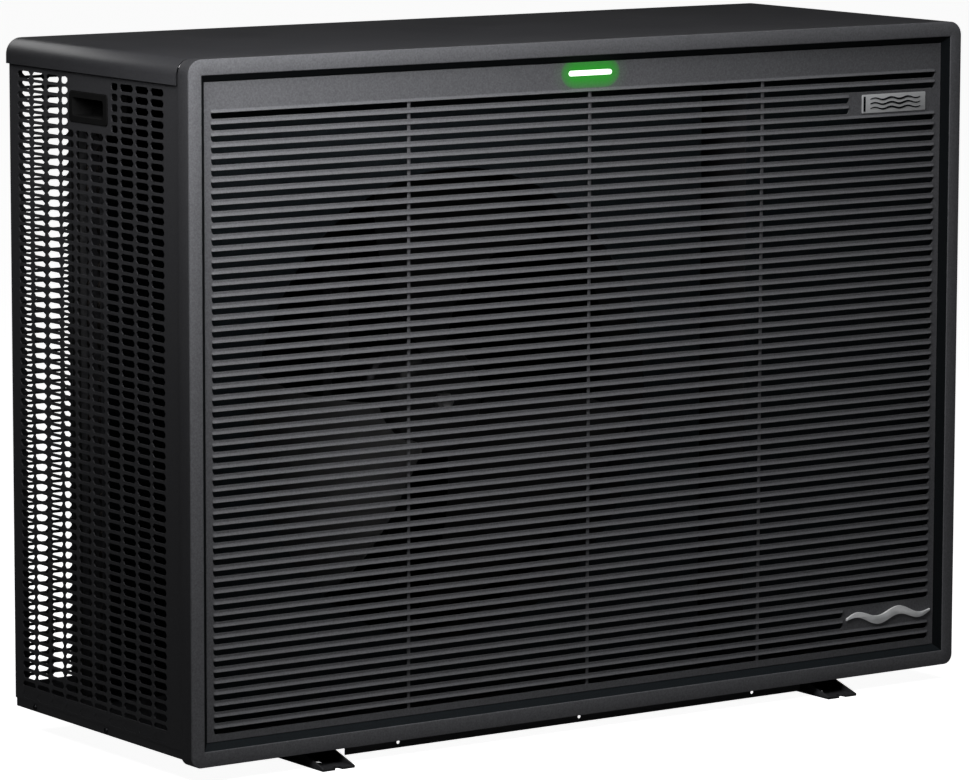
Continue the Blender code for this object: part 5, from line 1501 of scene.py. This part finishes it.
COMPRESSOR_CAN, COMPRESSOR_FOOT = 55 * MM, 77 * MM
CAN_SHARE = COMPRESSOR_CAN / COMPRESSOR_FOOT
CANS = (
    ("fan_motor", "motor_can", STEEL_DARK, "y", "steel_dark",
     [(0, 0), (0.3, 0), (0.3, 0.02), (0.55, 0.02), *dome(0.17, 0.02, 1.0, 0.6)[::-1], (1, 0.17), (1, 0.5),
      (0.97, 0.505), (0.97, 0.53), (1, 0.535), (1, 0.88), (0.9, 1), (0, 1)]),
    ("compressor", "compressor_can", STEEL_DARK, "z", "steel_dark",
     [(0, 0), (0.98, 0), (1, 0.004), (1, 0.012), (0.98, 0.016), (CAN_SHARE * 0.96, 0.018),
      (CAN_SHARE, 0.05), (CAN_SHARE, 0.72), (CAN_SHARE * 1.03, 0.725), (CAN_SHARE * 1.03, 0.74),
      (CAN_SHARE, 0.745), (CAN_SHARE, 0.85), *dome(0.85, 1.0, CAN_SHARE, 0.15, 8), (0, 1)]),
    ("suction_accumulator", "accumulator_can", STEEL_DARK, "z", "steel_dark",
     [(0, 0), (0.5, 0), *dome(0.10, 0.0, 1.0, 0.5)[::-1], (1, 0.10), (1, 0.47), (1.0, 0.49), (1, 0.9),
      *dome(0.90, 1.0, 1.0, 0.5), (0, 1)]),
    ("four_way_valve", "reversing_valve", BRASS, "x", "brass",
     [(0, 0), (0.55, 0), (0.8, 0.02), (1, 0.08), (1, 0.30), (0.93, 0.31), (0.93, 0.69), (1, 0.70), (1, 0.92),
      (0.8, 0.98), (0.55, 1), (0, 1)]),
    ("expansion_valve", "metering_valve", BRASS, "z", "brass",
     [(0, 0), (0.7, 0), (1, 0.16), (1, 0.60), (0.62, 0.66), (0.6, 0.70), (0.6, 0.95), (0.5, 1), (0, 1)]),
    ("heat_exchanger_shell", "exchanger_shell", PLASTIC_GREY, "z", "plastic_grey",
     [(0, 0), (0.82, 0), (0.9, 0.004), (1, 0.034), (1, 0.10), (0.985, 0.105), (0.985, 0.115), (1, 0.12),
      (1, 0.86), (0.985, 0.865), (0.985, 0.875), (1, 0.88), (1, 0.937), *dome(0.937, 1.0, 1.0, 0.62),
      (0, 1)]),
)
GROMMET = [(0, 0), (0.96, 0), (1, 0.05), (1, 0.28), (0.76, 0.42), (0.74, 0.5), (0.76, 0.58), (1, 0.72),
           (1, 0.95), (0.96, 1), (0, 1)]
for node, name, finish, axis, slot, shares in CANS:
    declare(lathe(node, name, finish, shares, axis), slot, node)
for number in (1, 2, 3):
    declare(lathe(f"compressor_mount_{number}", f"grommet_{number}", RUBBER, GROMMET, steps=40),
            "rubber", f"compressor_mount_{number}")

# %% [markdown]
# ## Water unions
# Both water ports end in a union: a threaded port, a hand nut with grip lugs, and a tail that takes
# the pool pipe. The nuts turn on their own bodies. The thread on the port is a run of shallow ridges,
# and the nut is a ring whose outer radius rises and falls round it, so its lugs are part of the ring.

# %% Ports, tails and nuts
PORT_BORE, TAIL_BORE, TAIL_OUTER = 24 * MM, 25 * MM, 28.6 * MM
THREAD_TURNS, THREAD_PITCH, THREAD_DEPTH = 6, 3 * MM, 0.9 * MM
NUT_BORE, NUT_MOUTH, NUT_LIP = 30.4 * MM, 29.4 * MM, 4 * MM
NUT_LUGS, LUG_DEPTH = 8, 2.5 * MM


def axis_of(node, axis):
    """A measured node's box and the foot of its axis."""
    low, high = span(node)
    foot = middle(node)
    setattr(foot, axis, 0)
    return low, high, foot


def make_port(name):
    """Grey port with a shallow thread near its end."""
    low, high, foot = axis_of(f"{name}_port", "x")
    outer = (high.z - low.z) / 2
    root = outer - THREAD_DEPTH
    thread = []
    for turn in range(THREAD_TURNS):
        start = WIDTH - 2 * MM + turn * THREAD_PITCH
        thread += [(root, start), (outer, start + MM), (outer, start + 1.6 * MM), (root, start + 2.6 * MM)]
    profile = [(PORT_BORE, low.x), (outer, low.x), (outer, WIDTH - 5 * MM), *thread, (root, high.x),
               (PORT_BORE, high.x)]
    shape = turned(profile, "x", foot, 72, closed=True)
    return make_piece(f"{name}_threaded_port", shape, PLASTIC_GREY, smooth=40)


def make_tail(name):
    """Black socket with a flange and a rounded mouth."""
    low, high, foot = axis_of(f"{name}_union_tail", "x")
    flange, soft = (high.z - low.z) / 2, 0.6 * MM
    lip = low.x + 4 * MM
    profile = [(TAIL_BORE, low.x), (flange, low.x), (flange, lip), (TAIL_OUTER, lip),
               (TAIL_OUTER, high.x - soft), (TAIL_OUTER - soft, high.x), (TAIL_BORE + soft, high.x),
               (TAIL_BORE, high.x - soft)]
    shape = turned(profile, "x", foot, 72, closed=True)
    return make_piece(f"{name}_pipe_tail", shape, PLASTIC_BLACK, smooth=40)


def lugged(point, turn):
    """The radius at a turn: points marked 1 rise and fall with the lugs."""
    wave = 0.5 - 0.5 * max(-1, min(1, 2.2 * math.cos(NUT_LUGS * turn)))
    return point[0] - point[2] * LUG_DEPTH * wave


def make_nut(name):
    """Hand nut: a ring with broad grip lugs, chamfered at both ends."""
    low, high, foot = axis_of(f"{name}_union_nut", "x")
    outer, chamfer, lip = (high.z - low.z) / 2, 1.6 * MM, high.x - NUT_LIP
    section = [(NUT_BORE, low.x, 0), (outer - chamfer, low.x, 1), (outer, low.x + chamfer, 1),
               (outer, lip, 1), (outer - 0.9 * MM, high.x - chamfer, 1), (outer - 3 * MM, high.x, 1),
               (NUT_MOUTH, high.x, 0), (NUT_MOUTH, lip, 0), (NUT_BORE, lip, 0)]
    shape = turned(section, "x", foot, NUT_LUGS * 16, closed=True, reach=lugged)
    return make_piece(f"{name}_hand_nut", shape, PLASTIC_BLACK, smooth=40)


for name in ("inlet", "outlet"):
    declare(make_port(name), "plastic_grey", f"{name}_port")
    declare(make_tail(name), "plastic_black", f"{name}_union_tail")
    declare(make_nut(name), "plastic_black", f"{name}_union_nut", body=f"{name}_nut")

# %% [markdown]
# ## Terminal cover, gland and drain
# The power cable would enter under a small moulded cover on the right side through a gland. The cover
# only gets broken edges. The gland is a hexagonal body with a ribbed dome nut below it, and the drain
# is a plain spigot with a rounded mouth. The gland is turned like the rest: its reach gives the flats
# of the hexagon and the ribs of the nut.

# %% Terminal cover, cable gland and drain spigot
GLAND_PROFILE = [(1.0, 0.0, 6), (1.0, 0.34, 6), (0.80, 0.36, 0), (0.80, 0.42, 0), (0.96, 0.44, 24),
                 (0.96, 0.74, 24), (0.86, 0.90, 24), (0.66, 1.0, 0)]
GLAND_BORE, DRAIN_BORE = 4.5 * MM, 8 * MM


def faceted(point, turn):
    """The radius at a turn: six flats, a ring of ribs, or plain round."""
    radius, _, facets = point
    if facets == 6:
        return radius * (math.cos(math.pi / 6) / math.cos((turn % (math.pi / 3)) - math.pi / 6))
    if facets:
        return radius * (1 - 0.03 * (math.cos(facets * turn) > 0))
    return radius


def make_gland():
    """Hexagonal body, ribbed dome nut and open throat."""
    low, high, foot = axis_of("cable_gland", "z")
    radius, length = (high.x - low.x) / 2, high.z - low.z
    profile = [(radius * share, high.z - along * length, facets) for share, along, facets in GLAND_PROFILE]
    profile += [(GLAND_BORE, low.z, 0), (GLAND_BORE, high.z, 0)]
    shape = turned(profile, "z", foot, closed=True, reach=faceted)
    return make_piece("gland_body", shape, PLASTIC_BLACK, smooth=30)


def make_drain():
    """Short spigot under the base pan."""
    low, high, foot = axis_of("drain_spigot", "z")
    outer, bore, soft = (high.x - low.x) / 2, DRAIN_BORE, 0.7 * MM
    profile = [(bore + soft, low.z), (outer - soft, low.z), (outer, low.z + soft), (outer, high.z),
               (bore, high.z), (bore, low.z + soft)]
    shape = turned(profile, "z", foot, 56, closed=True)
    return make_piece("drain_stub", shape, PLASTIC_BLACK, smooth=40)


TERMINAL_COVER = softened("terminal_cover", "wiring_cover_shell", PLASTIC_BLACK, width=1.2 * MM)
declare(TERMINAL_COVER, "plastic_black", "terminal_cover")
declare(make_gland(), "plastic_black", "cable_gland")
declare(make_drain(), "plastic_black", "drain_spigot")

# %% [markdown]
# ## What keeps its measured shape
# The pipes and the control board have their true shape already. They keep their meshes and only take
# a finish, which is set in their material slots.

# %% Finishes for the remaining measured pieces
PIPES = ("evaporator_header", "discharge_pipe", "suction_pipe", "coil_gas_pipe", "exchanger_gas_pipe",
         "liquid_pipe_in", "liquid_pipe_out")
KEPT = {"control_board": BOARD} | {name: COPPER for name in PIPES}
for name, finish in KEPT.items():
    frame["nodes"][name].material_slots[0].material = finish
print(len(KEPT), "measured pieces refinished")

# %% [markdown]
# ## Floor and backdrop
# The unit stands on a plain pale floor in a bright studio. Both the floor and the backdrop are bright
# to the camera but dim as a light, which keeps the shading of the walls.

# %% Floor and backdrop
AMBIENT = 0.012
FLOOR_GAP = 0.3 * MM
FLOOR_HALF = 12


def make_floor():
    """A pale floor that shows bright but bounces little light."""
    finish = bpy.data.materials.new("studio_floor")
    finish.use_nodes = True
    tree = finish.node_tree
    seen = add_node(tree, "ShaderNodeLightPath", output="Is Camera Ray")
    bounce = add_node(tree, "ShaderNodeBsdfDiffuse", None, {"Color": (0.30, 0.30, 0.30, 1)})
    pale = add_node(tree, "ShaderNodeBsdfDiffuse", None, {"Color": (0.92, 0.92, 0.92, 1)})
    lift = add_node(tree, "ShaderNodeEmission", None, {"Color": (1, 1, 1, 1), "Strength": 0.95})
    bright = add_node(tree, "ShaderNodeAddShader", None, {0: pale, 1: lift})
    mixed = add_node(tree, "ShaderNodeMixShader", None, {0: seen, 1: bounce, 2: bright})
    tree.links.new(mixed.socket, tree.nodes["Material Output"].inputs["Surface"])
    shape = bmesh.new()
    bmesh.ops.create_grid(shape, x_segments=1, y_segments=1, size=FLOOR_HALF)
    bmesh.ops.translate(shape, verts=shape.verts, vec=(0, 0, MEASURED_BOX[0][2] - FLOOR_GAP))
    return make_piece("studio_floor", shape, finish, from_corner=False)


def make_sky():
    """A world that the camera sees as white and that lights the object only dimly."""
    world = bpy.data.worlds.new("studio")
    world.use_nodes = True
    tree = world.node_tree
    seen = add_node(tree, "ShaderNodeLightPath", output="Is Camera Ray")
    tree.nodes["Background"].inputs["Color"].default_value = (1, 1, 1, 1)
    tree.links.new((seen * (1.05 - AMBIENT) + AMBIENT).socket, tree.nodes["Background"].inputs["Strength"])
    bpy.context.scene.world = world


make_floor()
make_sky()
print("floor and backdrop ready")

# %% [markdown]
# ## Lamps
# The key lamp hangs close by, above and in front of the upper left corner, so both visible walls fall
# off from bright at that corner to dark at the foot. A wide overhead lamp lights everything that faces
# up: the top, and the lower lip of every slat. A long weak lamp behind the left side draws the edge of
# the cover there. The Standard view shows the colours as they are given, with no film curve over them.

# %% Lamps
TOP_LEFT = CORNER + Vector((0, 0, HEIGHT))
LAMPS = (
    ("key_lamp", (-0.29, -0.47, 0.39), (0.33, 0.29, 0.10), 9.2, (0.9, 0.56), 132),
    ("overhead_lamp", (0.87, -0.26, 1.2), (0.5, 0.2, 0.0), 11.5, (0.8, 0.8), 180),
    ("rim_lamp", (-0.35, 1.7, 0.85), (0.0, 0.2, 0.0), 2.6, (1.7, 0.5), 110),
)


def hang_lamp(name, place, aim, power, size, spread):
    """A soft rectangular lamp, placed and aimed from the case's upper left corner."""
    light = bpy.data.lights.new(name, "AREA")
    light.shape = "RECTANGLE"
    light.size, light.size_y = size
    light.energy = power
    light.spread = math.radians(spread)
    holder = bpy.data.objects.new(name, light)
    holder.location = TOP_LEFT + Vector(place)
    holder.rotation_euler = (Vector(aim) - Vector(place)).to_track_quat("-Z", "Y").to_euler()
    holder.visible_camera = False
    bpy.context.scene.collection.objects.link(holder)


for row in LAMPS:
    hang_lamp(*row)
bpy.context.scene.view_settings.view_transform = "Standard"
print("lamps ready")

# %% [markdown]
# ## Camera
# A long lens from the front left, slightly above the top, keeps upright edges almost parallel. Its
# place is counted in case heights from the case's corner, so it would follow a rescaled case.

# %% Camera
FOCAL_LENGTH, SENSOR_WIDTH = 195.28, 36
CAMERA_PLACE = Vector((-3.83154, -6.17690, 1.57281))
AZIMUTH, ELEVATION, ROLL = (math.radians(angle) for angle in (35.047, -8.0907, 0.148))


def make_camera():
    """Long lens from the front left."""
    data = bpy.data.cameras.new("camera")
    data.sensor_width = SENSOR_WIDTH
    data.lens = FOCAL_LENGTH
    camera = bpy.data.objects.new("camera", data)
    camera.location = CORNER + CAMERA_PLACE * HEIGHT
    level = math.cos(ELEVATION)
    forward = Vector((level * math.sin(AZIMUTH), level * math.cos(AZIMUTH), math.sin(ELEVATION)))
    turn = forward.to_track_quat("-Z", "Y") @ Quaternion((0, 0, 1), ROLL)
    camera.rotation_euler = turn.to_euler()
    bpy.context.scene.collection.objects.link(camera)
    bpy.context.scene.camera = camera
    print("camera", [round(value, 3) for value in camera.location])


make_camera()

# %% [markdown]
# ## The measured size
# The finished model is meant to stay inside the measured one. The measured box is printed at the end.

# %% Sizes, and the end
print("measured", MEASURED_BOX)
